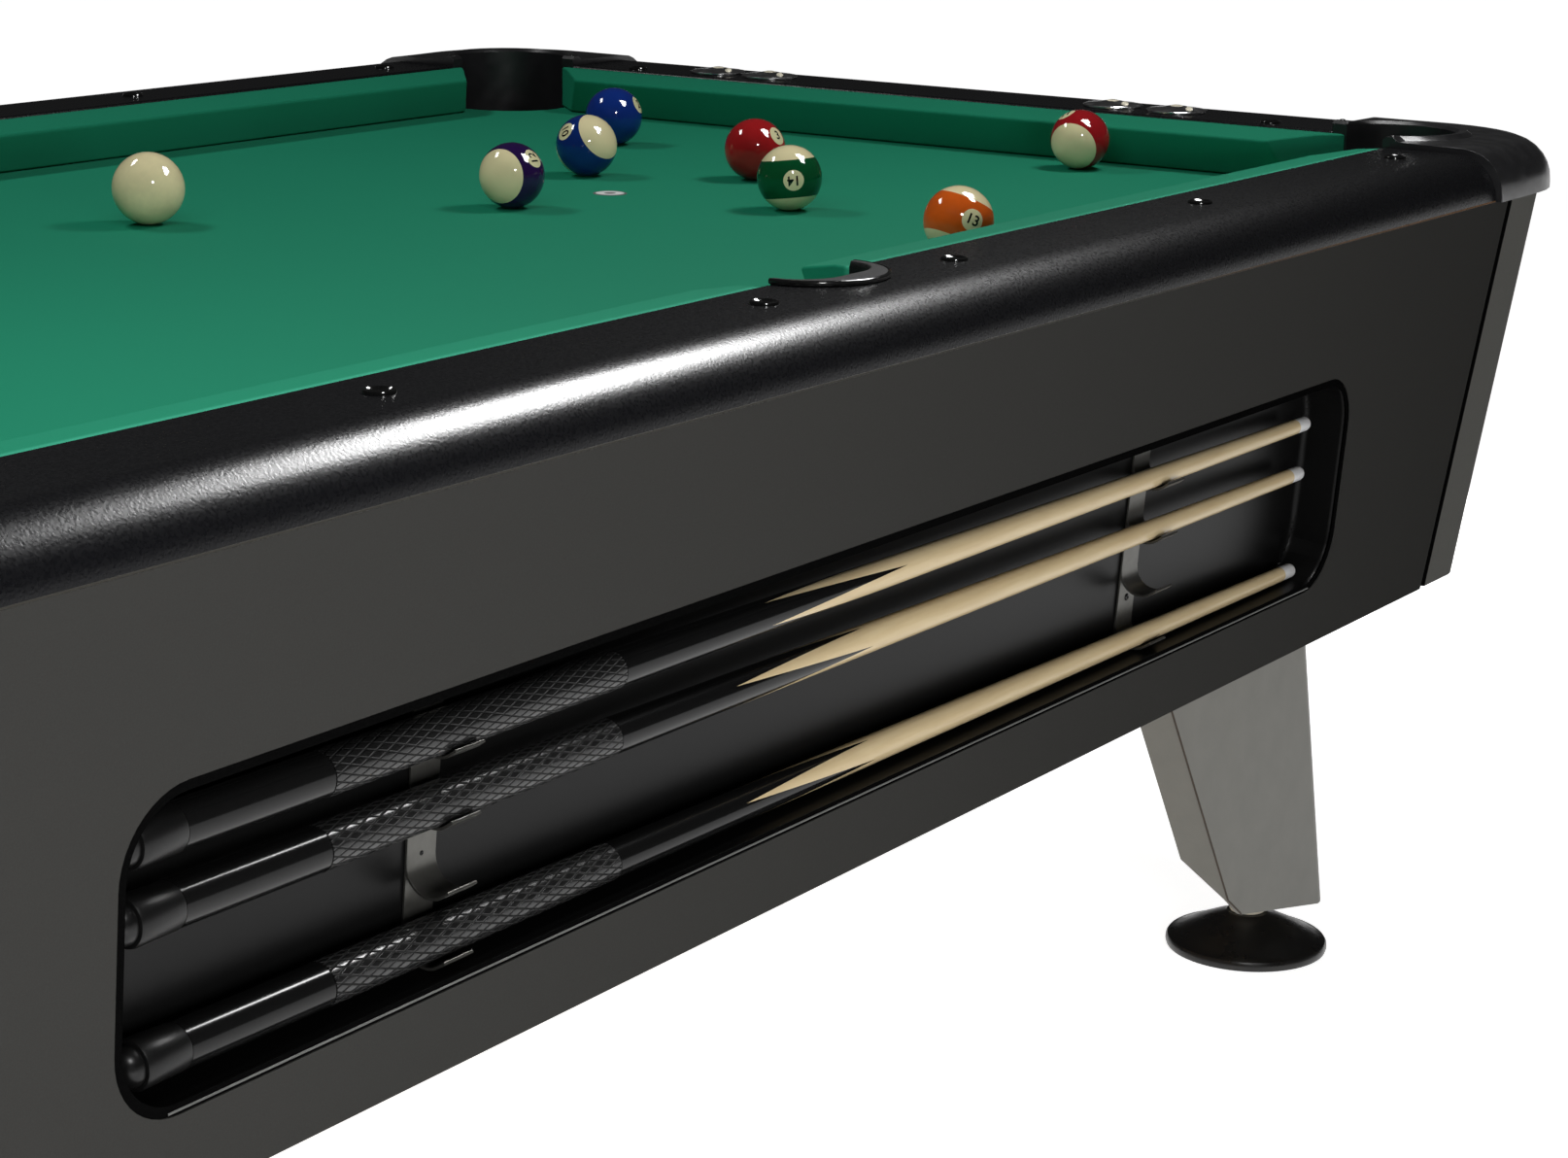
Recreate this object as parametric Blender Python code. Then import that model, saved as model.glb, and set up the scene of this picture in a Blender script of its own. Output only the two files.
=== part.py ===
# Coin-operated pool table with cue recess, ball return and loose ball set.
# Metres, +Z up. Origin on the floor under the table centre, +X along the
# length, the cue recess on the -Y side.
import math
import bmesh
import bpy
from mathutils import Vector

# Clearances
GAP = 0.0003           # between pieces that rest on each other
CLEAR = 0.0005         # between pieces that fit into each other
FREE = 0.0010          # between pieces that pass each other
THROUGH = 0.020        # cutters run this far past the faces they cut

# Playing field, cushions and rails
BED_H = 0.763          # cloth height above the floor
PLAY_L = 1.980         # nose to nose, long way
PLAY_W = 0.990         # nose to nose, short way
CUSHION_D = 0.0535     # nose line to feather line
CUSHION_DROP = 0.002   # cushion top below the rail top at the feather line
CUSHION_UP = 0.001     # cushion underside above the cloth
NOSE_H = 0.037         # nose height above the cloth
CORNER_CUT = 0.058     # nose shorter than feather at a corner pocket
SIDE_CUT = 0.012       # and at a side pocket
RAIL_T = 0.046         # rail top above the cloth
RAIL_W_LONG = 0.114    # feather line to outer face, long rails
RAIL_W_END = 0.1305    # feather line to outer face, end rails
BULL_D = 0.040         # bullnose rounding, in from the outer face
LIP_Z = 0.006          # underside of the bullnose above the cloth

# Pockets
POCKET_A = 0.078       # corner pocket mouth, back from the feather corner
POCKET_SINK = 0.0236   # corner pocket centre behind the chord of its mouth
THROAT_T = 0.0035      # wall of a corner pocket throat
THROAT_UP = 0.006      # throats end this far above the underside of the frame
SIDE_R = 0.0525        # side pocket radius in the rail
LINER_T = 0.0065       # wall of a side pocket liner at its ends
LINER_BACK = 0.023     # and at its middle
LINER_BEAD = 0.004     # bead of a side pocket liner above the rail
CAP_R = 0.136          # plan radius of a corner cap
CAP_REACH = 0.015      # cap arms past the pocket mouth, along the rails
CAP_PROUD = 0.005      # how far a cap stands proud of the rails
CAP_RIM = 0.005        # raised rim round a corner pocket
CAP_RIM_W = 0.010      # flat width of that rim

# Bed
CLOTH_T = 0.0012
SLATE_T = 0.0192
FRAME_T = 0.025
FRAME_RIM_X = 0.055    # frame timber along the ends
FRAME_RIM_Y = 0.065    # frame timber along the sides
BEAM_X = 0.450         # cross beams either side of the middle
BEAM_W = 0.080
HOLE_EDGE = 0.005      # slate holes larger than the pocket throats

# Cabinet
PANEL_T = 0.022
FLOOR_T = 0.018
OVERHANG = 0.0265      # long rail outer face beyond the side panel top edge
OVERHANG_END = 0.0350  # end rail outer face beyond the end panel top edge
LEAN_SIDE = 0.0286     # inward lean of the side panels over their height
LEAN_END = 0.085       # inward lean of the end panels over their height
POST_W = 0.078         # corner trim width on each face
POST_R = 0.020         # rounding of the trim's outer edge
LEAF_T = 0.0075        # inner leaf of a trim, behind the panels
LEAF_REACH = 0.030     # how far the leaf laps behind a panel
GROOVE = 0.010         # open joint between trim and panel

# Cues and their recess
CUE_L = 1.440
CUE_R0 = 0.0147        # butt radius
CUE_R1 = 0.0063        # radius behind the tip
CUE_TIP = 0.008        # length of the rounded tip
BUMPER_L = 0.030
BUMPER_R = 0.016
CUE_W = 0.0225         # cue axis behind the panel face
CUE_END = 0.013        # recess end to the bumper
CUE_FREE = 0.041       # tip to the other recess end
LOW_SHIFT = 0.008      # the lowest cue lies this far towards the tip end
HOOK_BUTT = -0.4555    # hook strip under the butts, from the middle
HOOK_SHAFT = 0.4325    # and under the shafts
HOOK_W = 0.027
HOOK_T = 0.002
HOOK_PITCH = 0.0445
HOOK_BASE = 0.0067     # lowest hook above the recess edge
HOOK_HEAD = 0.0512     # highest hook to the upper recess edge
HOOK_BEND = 0.0165     # inner bend radius of a hook
HOOK_TURN = 40.0       # degrees a hook turns up past its lowest line
HOOK_LIP = 0.006       # straight end of a hook
STRIP_END = 0.006      # strip ends short of the recess edge
TRAY_WALL = 0.003
TRAY_FLANGE = 0.010    # tray flange behind the panel
RECESS_R = 0.050
RECESS_TOP = 0.1228    # cloth to the upper recess edge
RECESS_UP = 0.0523     # lower recess edge above the cabinet's bottom edge
RECESS_STEPS = 11      # steps round a recess corner

# Legs and feet
LEG_T = 0.003
LEG_R = 0.026          # bend radius of the leg's corner
LEG_IN_X = 0.0405      # leg corner inside the end panel's bottom edge
LEG_IN_Y = 0.1359      # leg corner inside the side panel's bottom edge
SPLAY_X = 0.0305       # outward run of the leg corner over its height
SPLAY_Y = 0.0285
LEG_TOP_W = 0.3365     # leg wing along the table, top and bottom
LEG_BOT_W = 0.1936
LEG_TOP_D = 0.160      # leg wing across the table, top and bottom
LEG_BOT_D = 0.105
LEG_FOLD = 0.040       # return flange on the free edges
FOLD_LOW = 0.005       # what is left of it below the cut
FOLD_Z1 = 0.141        # the flange is cut away between these heights
FOLD_Z0 = 0.104
LEG_Z0 = 0.044         # lower edge of the leg's corner
LEG_RISE = 0.038       # rise of that edge towards the free end
TOP_PLATE_IN = 0.010   # top plate inside the wings
TOP_PLATE_T = 0.005
FOOT_PLATE_Z = 0.110
FOOT_PLATE_T = 0.008
FOOT_IN_X = 0.062      # foot stem inside the leg's corner
FOOT_IN_Y = 0.052
PLATE_EDGE_X = 0.070   # foot plate past the stem
PLATE_EDGE_Y = 0.045
PLATE_TAPER = 0.036    # plates taper to this at their far corners
FOOT_R = 0.080
FOOT_EDGE = 0.010      # height of the foot's rim
FOOT_DOME = 0.036      # height of its dome
HUB_R = 0.020
HUB_Z = 0.046
STEM_R = 0.011
STEM_Z = 0.150
STEM_CLEAR = 0.0004

# Ball return
RAMP_T = 0.004
RAMP_FRONT = 0.095     # ramp below the cloth along the front
RAMP_REAR = 0.125      # and along the back
VALLEY_HEAD = 0.150    # its valley below the cloth at the head end
VALLEY_FOOT = 0.185    # and at the foot end
RACK_UP = 0.0545       # low end of the ball trough above the cabinet's bottom edge
RACK_RISE = 0.048      # rise of the trough over its length
RACK_H = 0.040
RACK_WALL = 0.0035
RACK_FREE = 0.004      # trough wider than the largest ball
RACK_END = 0.034       # trough ends short of the corner trim
DROP_IN = 0.040        # drop hole from the trough's high end
DROP_FREE = 0.002
OUTLET_BESIDE = 0.350  # ball window beside the coin unit
OUTLET_UP = 0.1145     # centre of the ball window above the cabinet's bottom edge
OUTLET_W = 0.300
OUTLET_H = 0.104
OUTLET_R = 0.025
GATE_BESIDE = 0.200    # gate up the trough from the window
GATE_UP = 0.080        # gate pin above the trough floor
GATE_T = 0.004
GATE_FREE = 0.0008     # gate to the trough walls
GATE_FLOOR = 0.004     # gate to the trough floor
EAR_R = 0.014          # ears that carry the gate pin
PIN_R = 0.004

# Coin unit and cash drawer
COIN_IN = 0.389        # coin unit inside the head end of the cabinet
COIN_OVER = 0.092      # coin unit above the cash drawer, centre to centre
COIN_W = 0.100
COIN_H = 0.040
COIN_D = 0.170
SLOT_W = 0.072
SLOT_H = 0.012
WELL_WALL_X = 0.0045
WELL_WALL_Z = 0.0035
BEZEL = 0.015          # bezel wider than the body, all round
BEZEL_T = 0.0055
SLIDE_OUT = 0.030      # handle shoulder in front of the panel face at rest
SLIDE_WELL = 0.040     # depth of the well the handle is pushed into
SLIDE_IN = 0.085       # slide bar behind the panel face
HANDLE_W = 0.084
HANDLE_H = 0.025
HANDLE_T = 0.010
COIN_SLOT = 0.0026     # slots that take the coins on edge
COIN_SLOTS = 4
COIN_PITCH = 0.015
SLOT_EDGE = 0.003      # bar left at both ends of a coin slot
CASH_UP = 0.0595       # cash drawer centre above the cabinet's bottom edge
CASH_W = 0.180
CASH_H = 0.076
CASH_D = 0.160
CASH_WALL = 0.002
CASH_LOCK = 0.030      # depth of the lock block behind the drawer front

# Score dials and balls
DIAL_R = 0.030
DIAL_H = 0.007
KNOB_R = 0.012
DIAL_Y = (-0.266, -0.194, 0.224, 0.291)
BALL_D = 0.05715
CUE_BALL_D = 0.0603
BALLS = (               # name, from the foot nose line, from the front nose line, diameter
    ("ball_cue", 0.8855, 0.6760, CUE_BALL_D),
    ("ball_12", 0.6133, 0.5073, BALL_D),
    ("ball_10", 0.3992, 0.5884, BALL_D),
    ("ball_02", 0.1895, 0.7129, BALL_D),
    ("ball_03", 0.3190, 0.4521, BALL_D),
    ("ball_14", 0.4670, 0.3145, BALL_D),
    ("ball_13", 0.5992, 0.0629, BALL_D),
    ("ball_11", 0.0440, 0.2589, BALL_D),
)

# Sizes that follow from those above
FX = PLAY_L / 2 + CUSHION_D
FY = PLAY_W / 2 + CUSHION_D
XO = FX + RAIL_W_END
YO = FY + RAIL_W_LONG
Z_TOP = BED_H + RAIL_T
RECESS_DEPTH = CUE_W + HOOK_BEND + HOOK_T + GAP
RECESS_L = CUE_END + CUE_L + CUE_FREE
RECESS_H = HOOK_BASE + 3 * HOOK_PITCH + HOOK_HEAD
RECESS_Z = BED_H - RECESS_TOP - RECESS_H / 2
P_Z1 = BED_H + LIP_Z - FREE
P_Z0 = BED_H - RECESS_TOP - RECESS_H - RECESS_UP
PX1 = XO - OVERHANG_END
PY1 = YO - OVERHANG
COIN_X = COIN_IN - PX1
OUTLET_X = COIN_X + OUTLET_BESIDE
GATE_X = OUTLET_X + GATE_BESIDE
LEAN_A = math.atan2(LEAN_SIDE, P_Z1 - P_Z0)
POCKET_R = math.hypot(POCKET_A / math.sqrt(2), POCKET_SINK)
POCKET_X = FX - POCKET_A / 2 + POCKET_SINK / math.sqrt(2)
POCKET_Y = FY - POCKET_A / 2 + POCKET_SINK / math.sqrt(2)
Z_S1 = BED_H - CLOTH_T - GAP
Z_S0 = Z_S1 - SLATE_T
Z_F1 = Z_S0 - GAP
Z_F0 = Z_F1 - FRAME_T
SKIRT = BED_H - Z_F0 - THROAT_UP
INSIDE = PANEL_T + CLEAR + LEAF_T + FREE
TRAY_INSET = CLEAR + TRAY_WALL
CUE_X0 = -RECESS_L / 2 + CUE_END
CORNERS = (("front_foot", 1, -1), ("back_foot", 1, 1), ("front_head", -1, -1), ("back_head", -1, 1))

for old in list(bpy.data.objects):
    bpy.data.objects.remove(old, do_unlink=True)


def material(name, rgb, rough, metal=0.0):
    mat = bpy.data.materials.new(name)
    mat.use_nodes = True
    bsdf = mat.node_tree.nodes["Principled BSDF"]
    bsdf.inputs["Base Color"].default_value = (rgb[0], rgb[1], rgb[2], 1.0)
    bsdf.inputs["Roughness"].default_value = rough
    bsdf.inputs["Metallic"].default_value = metal
    return mat


M_PANEL = material("panel laminate", (0.035, 0.034, 0.032), 0.5)
M_POST = material("corner trim", (0.050, 0.049, 0.046), 0.55)
M_RAIL = material("rail laminate", (0.012, 0.012, 0.014), 0.4)
M_CAP = material("corner casting", (0.016, 0.016, 0.018), 0.35)
M_LINER = material("pocket liner", (0.010, 0.010, 0.010), 0.6)
M_CLOTH = material("cloth", (0.016, 0.220, 0.125), 0.95)
M_SLATE = material("slate", (0.10, 0.10, 0.11), 0.8)
M_WOOD = material("plywood", (0.45, 0.30, 0.16), 0.7)
M_TRAY = material("moulded tray", (0.006, 0.006, 0.006), 0.25)
M_HOOK = material("hook steel", (0.12, 0.12, 0.11), 0.4, 0.8)
M_CUE = material("cue maple", (0.70, 0.53, 0.32), 0.35)
M_LEG = material("leg paint", (0.13, 0.125, 0.11), 0.5, 0.3)
M_FOOT = material("foot rubber", (0.008, 0.008, 0.008), 0.4)
M_SHEET = material("galvanised sheet", (0.45, 0.46, 0.46), 0.45, 0.8)
M_CHROME = material("chrome", (0.75, 0.75, 0.76), 0.12, 1.0)
M_PHENOLIC = material("phenolic", (0.80, 0.76, 0.62), 0.1)


# Modelling helpers
def solid(name, verts, faces, mat, origin=(0.0, 0.0, 0.0)):
    ref = Vector(origin)
    mesh = bpy.data.meshes.new(name)
    mesh.from_pydata([Vector(v) - ref for v in verts], [], faces)
    bm = bmesh.new()
    bm.from_mesh(mesh)
    bmesh.ops.recalc_face_normals(bm, faces=bm.faces)
    bm.to_mesh(mesh)
    bm.free()
    mesh.shade_smooth()
    mesh.set_sharp_from_angle(angle=math.radians(30.0))
    mesh.materials.append(mat)
    obj = bpy.data.objects.new(name, mesh)
    obj.location = ref
    bpy.context.collection.objects.link(obj)
    return obj


def loft(name, rings, mat, origin=(0.0, 0.0, 0.0)):
    n = len(rings[0])
    verts = [p for ring in rings for p in ring]
    faces = []
    for i in range(len(rings) - 1):
        for j in range(n):
            k = (j + 1) % n
            faces.append((i * n + j, i * n + k, (i + 1) * n + k, (i + 1) * n + j))
    faces.append(tuple(range(n - 1, -1, -1)))
    faces.append(tuple(range((len(rings) - 1) * n, len(rings) * n)))
    return solid(name, verts, faces, mat, origin)


def slab(name, outline, z0, z1, mat, origin=(0.0, 0.0, 0.0)):
    low = [(x, y, z0) for x, y in outline]
    high = [(x, y, z1) for x, y in outline]
    return loft(name, [low, high], mat, origin)


def box(name, lo, hi, mat, origin=(0.0, 0.0, 0.0)):
    outline = [(lo[0], lo[1]), (hi[0], lo[1]), (hi[0], hi[1]), (lo[0], hi[1])]
    return slab(name, outline, lo[2], hi[2], mat, origin)


def revolve(name, profile, centre, mat, segments):
    verts = []
    faces = []
    rings = []
    for r, z in profile:
        if r < 1e-6:
            rings.append([len(verts)])
            verts.append((centre[0], centre[1], centre[2] + z))
            continue
        ring = []
        for s in range(segments):
            a = 2 * math.pi * s / segments
            ring.append(len(verts))
            verts.append((centre[0] + r * math.cos(a), centre[1] + r * math.sin(a), centre[2] + z))
        rings.append(ring)
    for low, high in zip(rings, rings[1:]):
        for s in range(segments):
            t = (s + 1) % segments
            if len(low) == 1:
                faces.append((low[0], high[t], high[s]))
            elif len(high) == 1:
                faces.append((low[s], low[t], high[0]))
            else:
                faces.append((low[s], low[t], high[t], high[s]))
    return solid(name, verts, faces, mat, centre)


def arc(cx, cy, r, a0, a1, n):
    """Points on a circle from a0 to a1 in degrees, both ends included."""
    steps = [math.radians(a0 + (a1 - a0) * i / n) for i in range(n + 1)]
    return [(cx + r * math.cos(a), cy + r * math.sin(a)) for a in steps]


def circle(cx, cy, r, n):
    return arc(cx, cy, r, 0.0, 360.0, n)[:-1]


def rounded(hx, hy, r, n=6):
    """Rectangle of half sizes hx by hy with round corners."""
    pts = arc(hx - r, hy - r, r, 0.0, 90.0, n)
    pts += arc(r - hx, hy - r, r, 90.0, 180.0, n)
    pts += arc(r - hx, r - hy, r, 180.0, 270.0, n)
    pts += arc(hx - r, r - hy, r, 270.0, 360.0, n)
    return pts


def rectangle(hx, hy):
    return [(-hx, -hy), (hx, -hy), (hx, hy), (-hx, hy)]


def plus(hx, hy, notch, step):
    """Rectangle with a notch out of every corner that steps in behind a trim."""
    quarter = [(hx, hy - notch), (hx - step, hy - notch), (hx - step, hy - step)]
    quarter += [(hx - notch, hy - step), (hx - notch, hy)]
    pts = list(quarter)
    pts += [(-x, y) for x, y in reversed(quarter)]
    pts += [(-x, -y) for x, y in quarter]
    pts += [(x, -y) for x, y in reversed(quarter)]
    return pts


def combine(obj, tool, operation):
    tool.hide_render = True
    tool.display_type = "WIRE"
    tool.name = "tool " + obj.name
    mod = obj.modifiers.new(operation.lower(), "BOOLEAN")
    mod.operation = operation
    mod.solver = "EXACT"
    mod.object = tool


def cut(obj, tool):
    combine(obj, tool, "DIFFERENCE")


def join(obj, tool):
    combine(obj, tool, "UNION")


def face_x(z):
    """Outer face of the end panels at height z."""
    return PX1 - LEAN_END * (P_Z1 - z) / (P_Z1 - P_Z0)


def face_y(z):
    """Outer face of the side panels at height z."""
    return PY1 - LEAN_SIDE * (P_Z1 - z) / (P_Z1 - P_Z0)


class PanelFrame:
    """Local axes on a side panel: u along X, v up the face, w inward."""

    def __init__(self, side, x, z):
        self.o = Vector((x, side * face_y(z), z))
        self.u = Vector((1.0, 0.0, 0.0))
        self.v = Vector((0.0, side * math.sin(LEAN_A), math.cos(LEAN_A)))
        self.w = Vector((0.0, -side * math.cos(LEAN_A), math.sin(LEAN_A)))

    def at(self, u, v, w):
        return self.o + u * self.u + v * self.v + w * self.w

    def prism(self, name, outline, w0, w1, mat):
        near = [self.at(u, v, w0) for u, v in outline]
        far = [self.at(u, v, w1) for u, v in outline]
        return loft(name, [near, far], mat)


RECESS = PanelFrame(-1, 0.0, RECESS_Z)
OUTLET = PanelFrame(1, OUTLET_X, P_Z0 + OUTLET_UP)
CASH = PanelFrame(1, COIN_X, P_Z0 + CASH_UP)
COIN = PanelFrame(1, COIN_X, P_Z0 + CASH_UP + COIN_OVER)


# Side panels, end panels, trims and floor of the cabinet
def side_panel(name, side):
    rings = []
    for z in (P_Z0, P_Z1):
        hx = face_x(z) - POST_W - GROOVE
        y1 = side * face_y(z)
        y0 = side * (face_y(z) - PANEL_T)
        rings.append([(-hx, y1, z), (hx, y1, z), (hx, y0, z), (-hx, y0, z)])
    return loft(name, rings, M_PANEL)


def end_panel(name, side):
    rings = []
    for z in (P_Z0, P_Z1):
        hy = face_y(z) - POST_W - GROOVE
        x1 = side * face_x(z)
        x0 = side * (face_x(z) - PANEL_T)
        rings.append([(x1, -hy, z), (x1, hy, z), (x0, hy, z), (x0, -hy, z)])
    return loft(name, rings, M_PANEL)


def corner_post(name, sx, sy):
    """Outer trim with a rounded edge and an inner leaf behind both panels."""
    inner = PANEL_T + CLEAR
    back = inner + LEAF_T
    reach = POST_W + LEAF_REACH
    shape = [(POST_W, 0.0)] + arc(POST_R, POST_R, POST_R, 270.0, 180.0, 6)
    shape += [(0.0, POST_W), (inner, POST_W), (inner, reach), (back, reach), (back, back)]
    shape += [(reach, back), (reach, inner), (POST_W, inner)]
    rings = []
    for z in (P_Z0, P_Z1):
        rings.append([(sx * (face_x(z) - px), sy * (face_y(z) - py), z) for px, py in shape])
    return loft(name, rings, M_POST)


def through(frame, outline):
    """Cutter for a panel opening of that outline."""
    return frame.prism("opening", outline, -THROUGH, PANEL_T + THROUGH, M_PANEL)


front_panel = side_panel("front_side_panel", -1)
cut(front_panel, through(RECESS, rounded(RECESS_L / 2, RECESS_H / 2, RECESS_R, RECESS_STEPS)))
back_panel = side_panel("back_side_panel", 1)
cut(back_panel, through(OUTLET, rounded(OUTLET_W / 2, OUTLET_H / 2, OUTLET_R)))
cut(back_panel, through(COIN, rectangle(COIN_W / 2 + CLEAR, COIN_H / 2 + CLEAR)))
cut(back_panel, through(CASH, rectangle(CASH_W / 2 + CLEAR, CASH_H / 2 + CLEAR)))
end_panel("foot_end_panel", 1)
end_panel("head_end_panel", -1)
for tag, sx, sy in CORNERS:
    corner_post("corner_post_" + tag, sx, sy)

TRIM_NOTCH = POST_W + LEAF_REACH - PANEL_T + LEAF_T
TRIM_STEP = CLEAR + LEAF_T + FREE
FLOOR_X = face_x(P_Z0) - PANEL_T - GAP
FLOOR_Y = face_y(P_Z0) - PANEL_T - GAP
slab("cabinet_floor", plus(FLOOR_X, FLOOR_Y, TRIM_NOTCH, TRIM_STEP), P_Z0, P_Z0 + FLOOR_T, M_WOOD)


# Cue recess: moulded tray with two hook strips
def cue_tray():
    def ring(inset, w):
        outline = rounded(RECESS_L / 2 - inset, RECESS_H / 2 - inset, RECESS_R - inset, RECESS_STEPS)
        return [RECESS.at(u, v, w) for u, v in outline]

    flange = PANEL_T * math.cos(LEAN_A) + GAP
    rings = [ring(TRAY_INSET, RECESS_DEPTH), ring(TRAY_INSET, FREE), ring(CLEAR, FREE)]
    rings += [ring(CLEAR, flange), ring(-TRAY_FLANGE, flange), ring(-TRAY_FLANGE, flange + TRAY_WALL)]
    rings += [ring(CLEAR, flange + TRAY_WALL), ring(CLEAR, RECESS_DEPTH + TRAY_WALL)]
    return loft("cue_tray", rings, M_TRAY)


def tray_floor(x):
    """Height of the tray's lower wall at x, which rounds up into its corners."""
    rad = RECESS_R - TRAY_INSET
    run = max(0.0, abs(x) - (RECESS_L / 2 - RECESS_R))
    return -RECESS_H / 2 + TRAY_INSET + rad - math.sqrt(rad ** 2 - run ** 2)


def hook_row(i):
    """Height of hook row i, counted from the top."""
    return -RECESS_H / 2 + HOOK_BASE + HOOK_PITCH * (3 - i)


def hook_strip(name, x):
    back = RECESS_DEPTH - GAP
    face = back - HOOK_T
    outer = HOOK_BEND + HOOK_T
    end = -90.0 - HOOK_TURN
    lip_w = -HOOK_LIP * math.cos(math.radians(HOOK_TURN))
    lip_v = HOOK_LIP * math.sin(math.radians(HOOK_TURN))
    leave = -math.degrees(math.acos(HOOK_BEND / outer))
    prof = [(back, hook_row(3) - CLEAR), (face, hook_row(3) + HOOK_T)]
    for i in (3, 2, 1, 0):
        c = hook_row(i)
        under = arc(CUE_W, c + HOOK_BEND, outer, leave, end, 7)
        seat = arc(CUE_W, c + HOOK_BEND, HOOK_BEND, end, 0.0, 8)
        prof += under
        prof.append((under[-1][0] + lip_w, under[-1][1] + lip_v))
        prof.append((seat[0][0] + lip_w, seat[0][1] + lip_v))
        prof += seat
    prof += [(face, RECESS_H / 2 - STRIP_END), (back, RECESS_H / 2 - STRIP_END)]
    rings = []
    for u in (x - HOOK_W / 2, x + HOOK_W / 2):
        rings.append([RECESS.at(u, v, w) for w, v in prof])
    return loft(name, rings, M_HOOK)


cue_tray()
hook_strip("hook_strip_butt", HOOK_BUTT)
hook_strip("hook_strip_shaft", HOOK_SHAFT)


# Cues on hook rows one, two and four
def cue_radius(s):
    return CUE_R0 + (CUE_R1 - CUE_R0) * s / CUE_L


def cue(name, row, shift):
    """Tapered cue on two hooks, its butt lifted where the tray's corner is in the way."""
    bumper = [(0.0, 0.63), (0.13, 0.91), (0.47, 1.0), (0.80, 0.94)]
    stations = [(BUMPER_L * s, BUMPER_R * r) for s, r in bumper]
    stations += [(BUMPER_L, CUE_R0), (CUE_L - CUE_TIP, cue_radius(CUE_L - CUE_TIP)), (CUE_L, 0.7 * CUE_R1)]
    x0 = CUE_X0 + shift
    seat = hook_row(row) + 2 * GAP
    v0 = seat + cue_radius(HOOK_BUTT - x0)
    v1 = seat + cue_radius(HOOK_SHAFT - x0)

    def share(x):
        return (x - HOOK_BUTT) / (HOOK_SHAFT - HOOK_BUTT)

    lift = 0.0
    for s, r in stations[:5]:
        x = x0 + s
        need = tray_floor(x) + FREE + r - v0 - (v1 - v0) * share(x)
        lift = max(lift, need / (1 - share(x)))
    v0 += lift
    rings = []
    for s, r in stations:
        x = x0 + s
        v = v0 + (v1 - v0) * share(x)
        rings.append([RECESS.at(x, v + pv, CUE_W + pw) for pv, pw in circle(0.0, 0.0, r, 12)])
    return loft(name, rings, M_CUE, RECESS.at(0.0, (v0 + v1) / 2, CUE_W))


cue("cue_upper", 0, 0.0)
cue("cue_middle", 1, 0.0)
cue("cue_lower", 3, LOW_SHIFT)


# Slate on its frame, with the cloth over it
def pocket_holes(obj, corner_r, side_r, z0, z1):
    side = corner_r * math.sqrt(0.5)
    for tag, sx, sy in CORNERS:
        notch = arc(0.0, 0.0, corner_r, 135.0, 315.0, 12) + [(side + XO, XO - side), (XO - side, XO + side)]
        outline = [(sx * (POCKET_X + x), sy * (POCKET_Y + y)) for x, y in notch]
        cut(obj, slab("notch", outline, z0, z1, M_SLATE))
    for sy in (-1, 1):
        notch = arc(0.0, 0.0, side_r, 180.0, 360.0, 12) + [(side_r, YO), (-side_r, YO)]
        cut(obj, slab("notch", [(x, sy * (FY + y)) for x, y in notch], z0, z1, M_SLATE))


SLATE_X = face_x(Z_S0) - INSIDE
SLATE_Y = face_y(Z_S0) - INSIDE
bed = rectangle(SLATE_X, SLATE_Y)
cloth = slab("bed_cloth", bed, BED_H - CLOTH_T, BED_H, M_CLOTH)
pocket_holes(cloth, POCKET_R + HOLE_EDGE, SIDE_R + FREE, BED_H - THROUGH, BED_H + THROUGH)
slate = slab("slate", bed, Z_S0, Z_S1, M_SLATE)
pocket_holes(slate, POCKET_R + HOLE_EDGE, SIDE_R + FREE, Z_S0 - THROUGH, Z_S1 + THROUGH)


def slate_frame():
    hx = face_x(Z_F0) - PANEL_T - GAP
    hy = face_y(Z_F0) - PANEL_T - GAP
    z0 = Z_F0 - THROUGH
    z1 = Z_F1 + THROUGH
    frame = slab("slate_frame", plus(hx, hy, TRIM_NOTCH, TRIM_STEP), Z_F0, Z_F1, M_WOOD)
    near = BEAM_X - BEAM_W / 2
    far = BEAM_X + BEAM_W / 2
    end = hx - FRAME_RIM_X
    side = hy - FRAME_RIM_Y
    for x0, x1 in ((-end, -far), (-near, near), (far, end)):
        cut(frame, box("bay", (x0, -side, z0), (x1, side, z1), M_WOOD))
    for tag, sx, sy in CORNERS:
        ring = circle(sx * POCKET_X, sy * POCKET_Y, POCKET_R + HOLE_EDGE + FREE, 24)
        cut(frame, slab("hole", ring, z0, z1, M_WOOD))
    for sy in (-1, 1):
        cut(frame, slab("hole", circle(0.0, sy * FY, SIDE_R + 3 * FREE, 24), z0, z1, M_WOOD))
    return frame


slate_frame()


# Rails, cushions and pocket pieces
def bullnose(out, top):
    """Quarter round from the top of a rail down its outer face."""
    rise = RAIL_T - LIP_Z
    pts = []
    for c, s in arc(0.0, 0.0, 1.0, 90.0, 0.0, 7):
        pts.append((out - BULL_D + BULL_D * c, top - rise + rise * s))
    return pts


def rail_profile(width, overhang):
    step = width - overhang - PANEL_T - 3 * CLEAR
    under = LIP_Z - CLEAR
    prof = [(0.0, GAP), (0.0, RAIL_T - CUSHION_DROP), (CUSHION_DROP, RAIL_T)]
    prof += bullnose(width, RAIL_T)
    prof += [(width - BULL_D / 13, under), (step, under), (step, GAP)]
    return prof


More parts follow.
